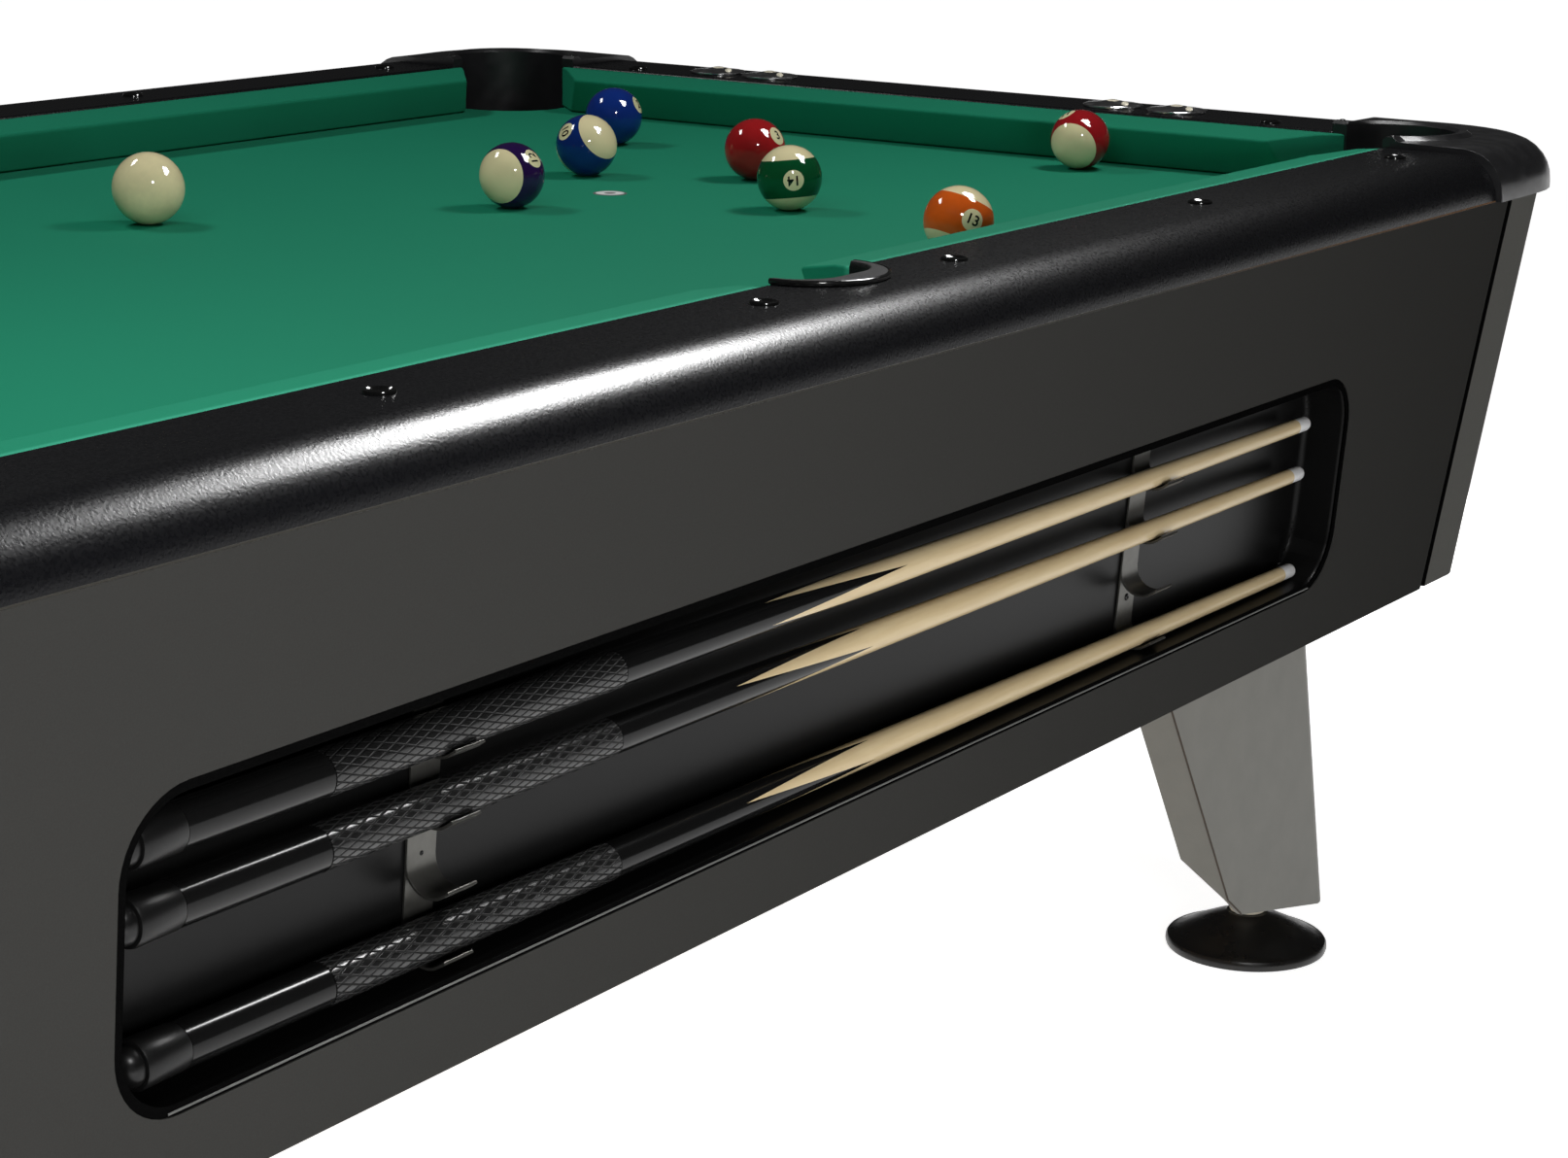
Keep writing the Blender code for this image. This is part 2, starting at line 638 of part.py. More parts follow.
def long_rail(name, side):
    hx = FX - POCKET_A - CAP_REACH
    prof = rail_profile(RAIL_W_LONG, OVERHANG)
    rings = [[(x, side * (FY + s), BED_H + z) for s, z in prof] for x in (-hx, hx)]
    rail = loft(name, rings, M_RAIL)
    r = SIDE_R + FREE
    notch = arc(0.0, 0.0, r, 0.0, 180.0, 16) + [(-r, -THROUGH), (r, -THROUGH)]
    notch = [(x, side * (FY + y)) for x, y in notch]
    cut(rail, slab("rail notch", notch, BED_H - THROUGH, Z_TOP + THROUGH, M_RAIL))
    return rail


def end_rail(name, side):
    hy = FY - POCKET_A - CAP_REACH
    prof = rail_profile(RAIL_W_END, OVERHANG_END)
    rings = [[(side * (FX + s), y, BED_H + z) for s, z in prof] for y in (-hy, hy)]
    return loft(name, rings, M_RAIL)


def cushion_profile():
    """From the feather line over the nose and back under it."""
    top = RAIL_T - CUSHION_DROP
    prof = [(GAP, top), (0.37 * CUSHION_D, top)]
    prof += [(0.95 * CUSHION_D, NOSE_H + 0.03 * CUSHION_D), (CUSHION_D, NOSE_H)]
    prof += [(0.97 * CUSHION_D, NOSE_H - 0.07 * CUSHION_D), (0.70 * CUSHION_D, CUSHION_UP), (GAP, CUSHION_UP)]
    return prof


def cushion(name, ends, place):
    """Cushion between two ends, each a place on the feather line and its cut at the nose."""
    rings = []
    for edge, nose in ends:
        rings.append([place(edge + nose * s / CUSHION_D, s, z) for s, z in cushion_profile()])
    return loft(name, rings, M_CLOTH)


def long_place(side):
    return lambda along, s, z: (along, side * (FY - s), BED_H + z)


def end_place(side):
    return lambda along, s, z: (side * (FX - s), along, BED_H + z)


LONG_END = (FX - POCKET_A, -CORNER_CUT)
LONG_MID = (SIDE_R + FREE + CLEAR, SIDE_CUT)
SHORT_END = (FY - POCKET_A, -CORNER_CUT)


def mirrored(end):
    return (-end[0], -end[1])


for tag, side in (("front", -1), ("back", 1)):
    long_rail(tag + "_rail", side)
    cushion(tag + "_cushion_foot", (LONG_MID, LONG_END), long_place(side))
    cushion(tag + "_cushion_head", (mirrored(LONG_END), mirrored(LONG_MID)), long_place(side))
for tag, side in (("foot", 1), ("head", -1)):
    end_rail(tag + "_rail", side)
    cushion(tag + "_cushion", (mirrored(SHORT_END), SHORT_END), end_place(side))


def cap_outline(d, x_in, y_in):
    """Point on a corner cap's outer edge, d along it from the long rail's end."""
    xo = XO + CAP_PROUD
    yo = YO + CAP_PROUD
    straight = xo - CAP_R - x_in
    bend = CAP_R * math.pi / 2
    if d <= straight:
        return (x_in + d, yo)
    if d <= straight + bend:
        a = math.pi / 2 - (d - straight) / CAP_R
        return (xo - CAP_R + CAP_R * math.cos(a), yo - CAP_R + CAP_R * math.sin(a))
    return (xo, yo - CAP_R - (d - straight - bend))


def corner_cap(name, sx, sy):
    """Casting round a corner pocket: bullnose outside, throat skirt inside, an arm on each rail."""
    mouth_x = FX - POCKET_A + GAP
    mouth_y = FY - POCKET_A + GAP
    x_in = mouth_x - CAP_REACH
    y_in = mouth_y - CAP_REACH
    total = (XO - x_in) + (YO - y_in) + 2 * CAP_PROUD - 2 * CAP_R + CAP_R * math.pi / 2
    th0 = math.atan2(FY - POCKET_Y, mouth_x - POCKET_X)
    th1 = math.atan2(mouth_y - POCKET_Y, FX - POCKET_X)
    count = 18
    top = RAIL_T + CAP_PROUD
    rim = top + CAP_RIM
    places = [(0.0, (x_in, FY), GAP), (CAP_REACH - GAP, (mouth_x - GAP, FY), GAP), (CAP_REACH, (mouth_x, FY), -SKIRT)]
    for i in range(1, count):
        th = th0 + (th1 - th0) * i / count
        inn = (POCKET_X + POCKET_R * math.cos(th), POCKET_Y + POCKET_R * math.sin(th))
        places.append((CAP_REACH + (total - 2 * CAP_REACH) * i / count, inn, -SKIRT))
    places += [(total - CAP_REACH, (FX, mouth_y), -SKIRT), (total - CAP_REACH + GAP, (FX, mouth_y - GAP), GAP)]
    places.append((total, (FX, y_in), GAP))
    rings = []
    for d, inn, low in places:
        out = cap_outline(d, x_in, y_in)
        run = math.hypot(out[0] - inn[0], out[1] - inn[1])
        dx = (out[0] - inn[0]) / run
        dy = (out[1] - inn[1]) / run
        sec = [(0.0, low), (0.0, rim - 0.3 * CAP_RIM_W), (0.3 * CAP_RIM_W, rim), (CAP_RIM_W, rim)]
        sec += [(1.6 * CAP_RIM_W, top + 0.2 * CAP_RIM)]
        sec += bullnose(run, top)
        sec += [(run, LIP_Z), (THROAT_T, LIP_Z), (THROAT_T, low)]
        rings.append([(sx * (inn[0] + s * dx), sy * (inn[1] + s * dy), BED_H + z) for s, z in sec])
    return loft(name, rings, M_CAP)


def side_liner(name, side):
    """U-shaped liner of a side pocket, thickest at its middle, with a bead over the rail top."""
    bead = RAIL_T + LINER_BEAD
    under = RAIL_T + CLEAR
    lap = SIDE_R + LINER_BEAD / 2
    rim = [(SIDE_R, bead), (lap, bead - LINER_BEAD / 2), (lap, under), (SIDE_R, under)]
    rim += [(SIDE_R - GAP, RAIL_T - CUSHION_DROP), (SIDE_R - GAP, -SKIRT)]
    rings = []
    for c, s in arc(0.0, 0.0, 1.0, 0.0, 180.0, 16):
        inn = math.hypot((SIDE_R - LINER_T) * c, (SIDE_R - LINER_BACK) * s)
        sec = [(inn, -SKIRT), (inn, bead - LINER_BEAD), (inn + LINER_BEAD / 2, bead)] + rim
        rings.append([(r * c, side * (FY + CLEAR + r * s), BED_H + z) for r, z in sec])
    return loft(name, rings, M_LINER)


for tag, sx, sy in CORNERS:
    corner_cap("corner_cap_" + tag, sx, sy)
side_liner("side_pocket_front", -1)
side_liner("side_pocket_back", 1)

# Folded legs with screw-in feet
LEG_Z1 = P_Z0 - GAP


def leg_share(z):
    """How far up the leg the height z lies, from 0 to 1."""
    return (z - LEG_Z0) / (LEG_Z1 - LEG_Z0)


def leg_corner(z):
    down = 1.0 - leg_share(z)
    return (face_x(P_Z0) - LEG_IN_X + SPLAY_X * down, face_y(P_Z0) - LEG_IN_Y + SPLAY_Y * down)


def foot_place(sx, sy):
    cx, cy = leg_corner(FOOT_PLATE_Z)
    return (sx * (cx - FOOT_IN_X), sy * (cy - FOOT_IN_Y))


def leg(name, sx, sy):
    """Two tapered wings round a bent corner, with folded free edges and two plates."""
    t = LEG_T
    outer = arc(LEG_R, LEG_R, LEG_R, 270.0, 180.0, 6)
    inner = arc(LEG_R, LEG_R, LEG_R - t, 180.0, 270.0, 6)
    rings = []
    levels = ((LEG_Z1, 0.0, LEG_FOLD), (FOLD_Z1, 0.0, LEG_FOLD), (FOLD_Z0, 0.0, FOLD_LOW))
    for z, rise, fold in levels + ((LEG_Z0, LEG_RISE, FOLD_LOW),):
        wx = LEG_BOT_W + (LEG_TOP_W - LEG_BOT_W) * leg_share(z)
        wy = LEG_BOT_D + (LEG_TOP_D - LEG_BOT_D) * leg_share(z)
        low = rise * wy / wx
        pts = [(wx, fold, rise), (wx, 0.0, rise)]
        pts += [(px, py, 0.0) for px, py in outer]
        pts += [(0.0, wy, low), (fold, wy, low), (fold, wy - t, low), (t, wy - t, low)]
        pts += [(px, py, 0.0) for px, py in inner]
        pts += [(wx - t, t, rise), (wx - t, fold, rise)]
        ring = []
        for px, py, up in pts:
            cx, cy = leg_corner(z + up)
            ring.append((sx * (cx - px), sy * (cy - py), z + up))
        rings.append(ring)
    obj = loft(name, rings, M_LEG)

    def plate(wx, wy, z0, z1):
        cx, cy = leg_corner((z0 + z1) / 2)
        half = t / 2
        bend = LEG_R / 3
        shape = [(bend, bend), (LEG_R, half), (wx, half), (wx, PLATE_TAPER)]
        shape += [(PLATE_TAPER, wy), (half, wy), (half, LEG_R)]
        return slab("leg plate", [(sx * (cx - px), sy * (cy - py)) for px, py in shape], z0, z1, M_LEG)

    top = LEG_Z1 - FREE
    join(obj, plate(LEG_TOP_W - TOP_PLATE_IN, LEG_TOP_D - TOP_PLATE_IN, top - TOP_PLATE_T, top))
    far_x = FOOT_IN_X + PLATE_EDGE_X
    far_y = FOOT_IN_Y + PLATE_EDGE_Y
    join(obj, plate(far_x, far_y, FOOT_PLATE_Z, FOOT_PLATE_Z + FOOT_PLATE_T))
    fx, fy = foot_place(sx, sy)
    hole = circle(fx, fy, STEM_R + STEM_CLEAR, 20)
    cut(obj, slab("stem hole", hole, FOOT_PLATE_Z - THROUGH, FOOT_PLATE_Z + FOOT_PLATE_T + THROUGH, M_LEG))
    return obj


def foot(name, sx, sy):
    fx, fy = foot_place(sx, sy)
    prof = [(0.0, 0.0), (FOOT_R - 0.2 * FOOT_EDGE, 0.0), (FOOT_R, 0.3 * FOOT_EDGE), (FOOT_R, FOOT_EDGE)]
    prof += [(0.825 * FOOT_R, 0.58 * FOOT_DOME), (0.56 * FOOT_R, 0.83 * FOOT_DOME), (1.1 * HUB_R, FOOT_DOME)]
    prof += [(HUB_R, HUB_Z), (STEM_R, HUB_Z + FREE), (STEM_R, STEM_Z), (0.0, STEM_Z)]
    return revolve(name, prof, (fx, fy, 0.0), M_FOOT, 20)


for tag, sx, sy in CORNERS:
    leg("leg_" + tag, sx, sy)
    foot("levelling_foot_" + tag, sx, sy)

# Ball return: folded ramp hung from the slate frame, trough and release gate
RACK_LOW = P_Z0 + RACK_UP
RACK_X0 = OUTLET_X - OUTLET_W / 2
RACK_X1 = face_x(RACK_LOW) - POST_W - RACK_END
RACK_Y1 = face_y(RACK_LOW) - PANEL_T - GAP
RACK_Y0 = RACK_Y1 - CUE_BALL_D - RACK_FREE - 2 * RACK_WALL
RACK_Y = (RACK_Y0 + RACK_Y1) / 2
RAMP_X = face_x(BED_H - VALLEY_FOOT - RAMP_T) - INSIDE
RAMP_Y = face_y(BED_H - RAMP_REAR - RAMP_T) - INSIDE


def ball_ramp():
    lip = Z_F0 - CLEAR
    front = BED_H - RAMP_FRONT
    rear = BED_H - RAMP_REAR
    rings = []
    for x, drop in ((-RAMP_X, VALLEY_HEAD), (RAMP_X, VALLEY_FOOT)):
        valley = BED_H - drop
        upper = [(-RAMP_Y, lip), (-RAMP_Y + RAMP_T, lip), (-RAMP_Y + RAMP_T, front), (RACK_Y, valley)]
        upper += [(RAMP_Y - RAMP_T, rear), (RAMP_Y - RAMP_T, lip), (RAMP_Y, lip)]
        lower = [(RAMP_Y, rear - RAMP_T), (RACK_Y, valley - RAMP_T), (-RAMP_Y, front - RAMP_T)]
        rings.append([(x, y, z) for y, z in upper + lower])
    ramp = loft("ball_ramp", rings, M_SHEET)
    hole = circle(RACK_X1 - DROP_IN, RACK_Y, CUE_BALL_D / 2 + DROP_FREE, 24)
    low = BED_H - VALLEY_FOOT - RAMP_T - THROUGH
    cut(ramp, slab("drop hole", hole, low, rear, M_SHEET))
    return ramp


def rack_floor(x):
    return RACK_LOW + RACK_RISE * (x - RACK_X0) / (RACK_X1 - RACK_X0)


GATE_Z = rack_floor(GATE_X) + GATE_UP


def cross_pin(name, r, y0, y1, mat):
    rings = [[(x, y, z) for x, z in circle(GATE_X, GATE_Z, r, 16)] for y in (y0, y1)]
    return loft(name, rings, mat)


def ball_rack():
    def ring(x, inset, low, high):
        z = rack_floor(x)
        y0 = RACK_Y0 + inset
        y1 = RACK_Y1 - inset
        return [(x, y0, z + low), (x, y1, z + low), (x, y1, z + high), (x, y0, z + high)]

    body = loft("ball_rack", [ring(RACK_X0, 0.0, 0.0, RACK_H), ring(RACK_X1, 0.0, 0.0, RACK_H)], M_SHEET)
    ear_low = (GATE_X - EAR_R, RACK_Y0, rack_floor(GATE_X) + RACK_H / 4)
    ear_high = (GATE_X + EAR_R, RACK_Y1, GATE_Z + EAR_R)
    join(body, box("gate ear", ear_low, ear_high, M_SHEET))
    over = GATE_UP + EAR_R + RACK_RISE + THROUGH
    cavity = [ring(RACK_X0 + RACK_WALL, RACK_WALL, RACK_WALL, over)]
    cavity.append(ring(RACK_X1 - RACK_WALL, RACK_WALL, RACK_WALL, over))
    cut(body, loft("rack cavity", cavity, M_SHEET))
    cut(body, cross_pin("pin hole", PIN_R + STEM_CLEAR, RACK_Y0 - THROUGH, RACK_Y1 + THROUGH, M_SHEET))
    return body


def release_gate():
    inset = RACK_WALL + GATE_FREE
    low = (GATE_X - GATE_T / 2, RACK_Y0 + inset, rack_floor(GATE_X) + RACK_WALL + GATE_FLOOR)
    high = (GATE_X + GATE_T / 2, RACK_Y1 - inset, GATE_Z + PIN_R / 4)
    gate = box("release_gate", low, high, M_HOOK, (GATE_X, RACK_Y, GATE_Z))
    join(gate, cross_pin("gate pin", PIN_R, RACK_Y0 + CLEAR, RACK_Y1 - CLEAR, M_HOOK))
    return gate


ball_ramp()
ball_rack()
release_gate()


# Coin mechanism and cash drawer on the back panel
def bezel(frame, name, hu, hv, mat):
    return frame.prism(name, rounded(hu, hv, BEZEL / 2, 3), -CLEAR - BEZEL_T, -CLEAR, mat)


def coin_mechanism():
    outline = rectangle(COIN_W / 2, COIN_H / 2)
    body = COIN.prism("coin_mechanism", outline, -CLEAR - BEZEL_T / 2, COIN_D, M_CHROME)
    join(body, bezel(COIN, "coin bezel", COIN_W / 2 + BEZEL, COIN_H / 2 + BEZEL, M_CHROME))
    well = rectangle(COIN_W / 2 - WELL_WALL_X, COIN_H / 2 - WELL_WALL_Z)
    cut(body, COIN.prism("coin well", well, -THROUGH, SLIDE_WELL, M_CHROME))
    slot = rectangle(SLOT_W / 2, SLOT_H / 2)
    cut(body, COIN.prism("coin slot", slot, -THROUGH, COIN_D + THROUGH, M_CHROME))
    return body


def coin_slide():
    """Push slide with a handle and slots that take the coins on edge."""
    def bar(hu, hv, w):
        return [COIN.at(u, v, w) for u, v in rectangle(hu, hv)]

    hu = SLOT_W / 2 - CLEAR
    hv = SLOT_H / 2 - CLEAR
    rings = [bar(hu, hv, SLIDE_IN), bar(hu, hv, -SLIDE_OUT), bar(HANDLE_W / 2, HANDLE_H / 2, -SLIDE_OUT)]
    rings.append(bar(HANDLE_W / 2, HANDLE_H / 2, -SLIDE_OUT - HANDLE_T))
    slide = loft("coin_slide", rings, M_CHROME, COIN.at(0.0, 0.0, -SLIDE_OUT))
    for i in range(COIN_SLOTS):
        u = COIN_PITCH * (i - (COIN_SLOTS - 1) / 2)
        half = COIN_SLOT / 2
        slot = [(u - half, -SLOT_H), (u + half, -SLOT_H), (u + half, SLOT_H), (u - half, SLOT_H)]
        cut(slide, COIN.prism("coin edge slot", slot, -SLIDE_OUT + SLOT_EDGE, -SLOT_EDGE, M_CHROME))
    return slide


def cash_drawer():
    outline = rectangle(CASH_W / 2, CASH_H / 2)
    body = CASH.prism("cash_drawer", outline, -CLEAR - BEZEL_T / 2, CASH_D, M_SHEET)
    join(body, bezel(CASH, "drawer front", CASH_W / 2 + BEZEL, CASH_H / 2 + BEZEL / 3, M_SHEET))
    hu = CASH_W / 2 - CASH_WALL
    hv = CASH_H / 2 - CASH_WALL
    hollow = [(-hu, -hv), (hu, -hv), (hu, hv + THROUGH), (-hu, hv + THROUGH)]
    cut(body, CASH.prism("drawer hollow", hollow, CASH_LOCK, CASH_D - CASH_WALL, M_SHEET))
    return body


coin_mechanism()
coin_slide()
cash_drawer()

# Score dials on the flat of the foot rail
for i, y in enumerate(DIAL_Y):
    profile = [(0.0, 0.0), (DIAL_R, 0.0), (DIAL_R, 0.3 * DIAL_H), (0.9 * DIAL_R, 0.5 * DIAL_H)]
    profile += [(KNOB_R, 0.57 * DIAL_H), (0.92 * KNOB_R, DIAL_H), (0.0, DIAL_H)]
    place = (FX + (RAIL_W_END - BULL_D) / 2, y, Z_TOP + GAP)
    revolve("score_dial_%d" % (i + 1), profile, place, M_CHROME, 24)


# Balls lying on the cloth
def ball(name, from_foot, from_front, diameter):
    r = diameter / 2
    profile = [(0.0, -r)]
    for i in range(1, 10):
        a = math.pi * i / 10
        profile.append((r * math.sin(a), -r * math.cos(a)))
    profile.append((0.0, r))
    centre = (PLAY_L / 2 - from_foot, from_front - PLAY_W / 2, BED_H + GAP + r)
    return revolve(name, profile, centre, M_PHENOLIC, 18)


for entry in BALLS:
    ball(*entry)
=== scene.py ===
import math

import bpy
from mathutils import Matrix, Vector


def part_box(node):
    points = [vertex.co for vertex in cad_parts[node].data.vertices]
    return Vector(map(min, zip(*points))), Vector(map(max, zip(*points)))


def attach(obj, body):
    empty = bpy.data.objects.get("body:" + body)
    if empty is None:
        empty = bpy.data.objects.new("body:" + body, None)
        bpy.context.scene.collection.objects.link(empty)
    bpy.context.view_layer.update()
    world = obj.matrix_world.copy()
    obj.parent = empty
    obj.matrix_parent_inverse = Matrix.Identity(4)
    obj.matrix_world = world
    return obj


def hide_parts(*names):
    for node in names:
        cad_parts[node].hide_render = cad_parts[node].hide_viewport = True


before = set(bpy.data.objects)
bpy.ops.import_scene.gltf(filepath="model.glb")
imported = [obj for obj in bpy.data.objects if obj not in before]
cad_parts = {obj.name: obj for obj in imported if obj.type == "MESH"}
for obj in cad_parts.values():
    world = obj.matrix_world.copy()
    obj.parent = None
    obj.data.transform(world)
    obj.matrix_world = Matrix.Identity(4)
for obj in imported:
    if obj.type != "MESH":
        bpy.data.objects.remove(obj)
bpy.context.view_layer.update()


# Camera of the photograph: a long lens at standing height off the head end, looking down the near side.
# Its place, turn and focal length were worked out from the rail lines, the field and the ball sizes.
yaw = math.radians(56.370)
pitch = math.radians(14.328)
roll = 0.0169
bpy.ops.object.camera_add(location=(-1.89125, -1.78767, 1.17035))
camera = bpy.context.object
turn = Matrix.Rotation(-yaw, 3, "Z") @ Matrix.Rotation(math.pi / 2 - pitch, 3, "X")
camera.rotation_euler = (turn @ Matrix.Rotation(roll, 3, "Z")).to_euler()
camera.data.sensor_width = 36.0
camera.data.lens = 76.208
camera.data.clip_end = 300.0
bpy.context.scene.camera = camera
bpy.context.view_layer.update()
EYE = camera.matrix_world.translation.copy()
EYE_UP = camera.matrix_world.to_3x3().col[1].copy()


# Levelling feet: black moulded discs with a low dome and a rolled rim, each on a steel screw.
# Turned to a lathe profile, with a pale nylon hub between the disc and the leg's plate.
CORNERS = (("front_foot", 1, -1), ("back_foot", 1, 1), ("front_head", -1, -1), ("back_head", -1, 1))


def surface(mat, label):
    return mat.node_tree.nodes["Principled BSDF"].inputs[label]


def finish(name, colour, roughness, metallic=0.0, specular=0.5):
    mat = bpy.data.materials.new(name)
    mat.use_nodes = True
    surface(mat, "Base Color").default_value = (*colour, 1.0)
    surface(mat, "Roughness").default_value = roughness
    surface(mat, "Metallic").default_value = metallic
    surface(mat, "Specular IOR Level").default_value = specular
    return mat


def node(mat, kind, **values):
    made = mat.node_tree.nodes.new(kind)
    for key, value in values.items():
        setattr(made, key, value)
    return made


def join(mat, source, target):
    mat.node_tree.links.new(source, target)


def object_place(mat, location=(0.0, 0.0, 0.0), rotation=(0.0, 0.0, 0.0), scale=(1.0, 1.0, 1.0)):
    place = node(mat, "ShaderNodeTexCoord")
    mapping = node(mat, "ShaderNodeMapping", vector_type="TEXTURE")
    mapping.inputs["Location"].default_value = location
    mapping.inputs["Rotation"].default_value = rotation
    mapping.inputs["Scale"].default_value = scale
    join(mat, place.outputs["Object"], mapping.inputs["Vector"])
    return mapping.outputs["Vector"]


def speckle(mat, size, stretch=(1.0, 1.0, 1.0), detail=3.0):
    noise = node(mat, "ShaderNodeTexNoise")
    noise.inputs["Scale"].default_value = 1.0 / size
    noise.inputs["Detail"].default_value = detail
    join(mat, object_place(mat, scale=stretch), noise.inputs["Vector"])
    return noise.outputs["Fac"]


def ramp(mat, share, *stops):
    made = node(mat, "ShaderNodeValToRGB")
    elements = made.color_ramp.elements
    for i, (place, colour) in enumerate(stops):
        stop = elements[i] if i < 2 else elements.new(place)
        stop.position = place
        stop.color = (*colour, 1.0)
    join(mat, share, made.inputs["Fac"])
    return made.outputs["Color"]


def remap(mat, value, source, target=(0.0, 1.0), kind="LINEAR"):
    made = node(mat, "ShaderNodeMapRange", interpolation_type=kind)
    for label, number in zip(("From Min", "From Max", "To Min", "To Max"), source + target):
        made.inputs[label].default_value = number
    join(mat, value, made.inputs["Value"])
    return made.outputs["Result"]


def raised(mat, height, distance):
    bump = node(mat, "ShaderNodeBump")
    bump.inputs["Strength"].default_value = 1.0
    bump.inputs["Distance"].default_value = distance
    join(mat, height, bump.inputs["Height"])
    join(mat, bump.outputs["Normal"], surface(mat, "Normal"))


def grain(mat, size, height, tone=0.0, stretch=(1.0, 1.0, 1.0), detail=3.0):
    noise = speckle(mat, size, stretch, detail)
    raised(mat, noise, height)
    if tone > 0.0:
        base = surface(mat, "Base Color").default_value[:3]
        dark = [c * (1 - tone) for c in base]
        light = [c * (1 + tone) for c in base]
        join(mat, ramp(mat, noise, (0.25, dark), (0.75, light)), surface(mat, "Base Color"))


def uneven_gloss(mat, size, low, high):
    gloss = remap(mat, speckle(mat, size, detail=2.0), (0.3, 0.7), (low, high))
    join(mat, gloss, surface(mat, "Roughness"))


def draw_line(name, points):
    bpy.ops.object.select_all(action="DESELECT")
    bpy.ops.mesh.primitive_plane_add(size=0.01)
    obj = bpy.context.object
    obj.name = name
    bpy.ops.object.mode_set(mode="EDIT")
    bpy.ops.mesh.select_all(action="SELECT")
    bpy.ops.mesh.merge(type="CENTER")
    bpy.ops.transform.translate(value=Vector(points[0]))
    for start, end in zip(points, points[1:]):
        step = Vector(end) - Vector(start)
        bpy.ops.mesh.extrude_region_move(TRANSFORM_OT_translate={"value": step})
    return obj


def turned(name, profile, centre, mat, along="Z", steps=72, angle=35.0):
    places = {"Z": [(r, 0.0, h) for r, h in profile], "X": [(h, 0.0, r) for r, h in profile]}
    axis = {"Z": (0.0, 0.0, 1.0), "X": (1.0, 0.0, 0.0)}[along]
    points = [Vector(centre) + Vector(p) for p in places[along]]
    obj = draw_line(name, points)
    bpy.ops.mesh.select_all(action="SELECT")
    bpy.ops.mesh.spin(steps=steps, angle=2 * math.pi, center=centre, axis=axis)
    bpy.ops.mesh.select_all(action="SELECT")
    bpy.ops.mesh.remove_doubles(threshold=0.00002)
    bpy.ops.mesh.normals_make_consistent(inside=False)
    bpy.ops.object.mode_set(mode="OBJECT")
    bpy.ops.object.shade_smooth_by_angle(angle=math.radians(angle))
    obj.data.materials.append(mat)
    return obj


foot_black = finish("foot_black", (0.010, 0.0095, 0.009), 0.32, specular=0.5)
grain(foot_black, 0.0012, 0.00005)
uneven_gloss(foot_black, 0.020, 0.24, 0.42)
hub_cream = finish("hub_cream", (0.62, 0.57, 0.46), 0.5)
grain(hub_cream, 0.004, 0.00003, 0.08)
screw_steel = finish("screw_steel", (0.40, 0.37, 0.32), 0.35, metallic=1.0)
grain(screw_steel, 0.0015, 0.00003, 0.12, (1.0, 1.0, 0.2))
FOOT = ((0.0, 0.0), (0.074, 0.0), (0.079, 0.0015), (0.080, 0.0045), (0.0797, 0.0085), (0.0782, 0.0106))
FOOT += ((0.0755, 0.0113), (0.0700, 0.0135), (0.0550, 0.0213), (0.0400, 0.0285), (0.0290, 0.0332))
FOOT += ((0.0225, 0.0357), (0.0205, 0.0375), (0.0, 0.0375))
HUB = ((0.0, 0.0376), (0.0150, 0.0376), (0.0170, 0.0382), (0.0176, 0.0395), (0.0176, 0.0560))
HUB += ((0.0168, 0.0568), (0.0, 0.0568))
THREADS = 30
THREAD_PITCH = 0.003
STEM = ((0.0, 0.0570), (0.0098, 0.0570))
for i in range(THREADS):
    STEM += ((0.0110, 0.0580 + i * THREAD_PITCH), (0.0098, 0.0595 + i * THREAD_PITCH))
STEM += ((0.0095, 0.1500), (0.0, 0.1500))
for tag, sx, sy in CORNERS:
    name = "levelling_foot_" + tag
    low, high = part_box(name)
    spot = ((low[0] + high[0]) / 2, (low[1] + high[1]) / 2, low[2])
    disc = turned("foot_disc_" + tag, FOOT, spot, foot_black)
    hub = turned("foot_hub_" + tag, HUB, spot, hub_cream)
    stem = turned("foot_stem_" + tag, STEM, spot, screw_steel, steps=32, angle=20.0)
    for piece in (disc, hub, stem):
        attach(piece, name)
    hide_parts(name)


# Legs: sheet steel folded round a wide bend, with a return flange on each free edge and plates welded
# inside for the cabinet and the foot. Silver-grey paint, a little uneven where it was sprayed, with a dark
# brown line drawn along the fold of the wide wing.
def eased(piece, bevel, angle=30.0, segments=2):
    if bevel > 0.0:
        ease = piece.modifiers.new("ease", "BEVEL")
        ease.width = bevel
        ease.segments = segments
        ease.limit_method = "ANGLE"
        ease.angle_limit = math.radians(angle)
        bpy.ops.object.modifier_apply(modifier="ease")
    bpy.ops.object.shade_smooth_by_angle(angle=math.radians(angle))
    even = piece.modifiers.new("even", "WEIGHTED_NORMAL")
    even.keep_sharp = True
    bpy.ops.object.modifier_apply(modifier="even")


def dressed(name, cad, mat, bevel=0.0006, angle=30.0, segments=2):
    bpy.ops.object.select_all(action="DESELECT")
    piece = bpy.data.objects.new(name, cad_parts[cad].data.copy())
    bpy.context.collection.objects.link(piece)
    bpy.context.view_layer.objects.active = piece
    piece.select_set(True)
    bpy.ops.mesh.customdata_custom_splitnormals_clear()
    bpy.ops.object.mode_set(mode="EDIT")
    bpy.ops.mesh.select_all(action="SELECT")
    bpy.ops.mesh.remove_doubles(threshold=0.00002)
    bpy.ops.mesh.dissolve_limited(angle_limit=math.radians(0.5))
    bpy.ops.object.mode_set(mode="OBJECT")
    piece.data.materials.clear()
    piece.data.materials.append(mat)
    eased(piece, bevel, angle, segments)
    return piece


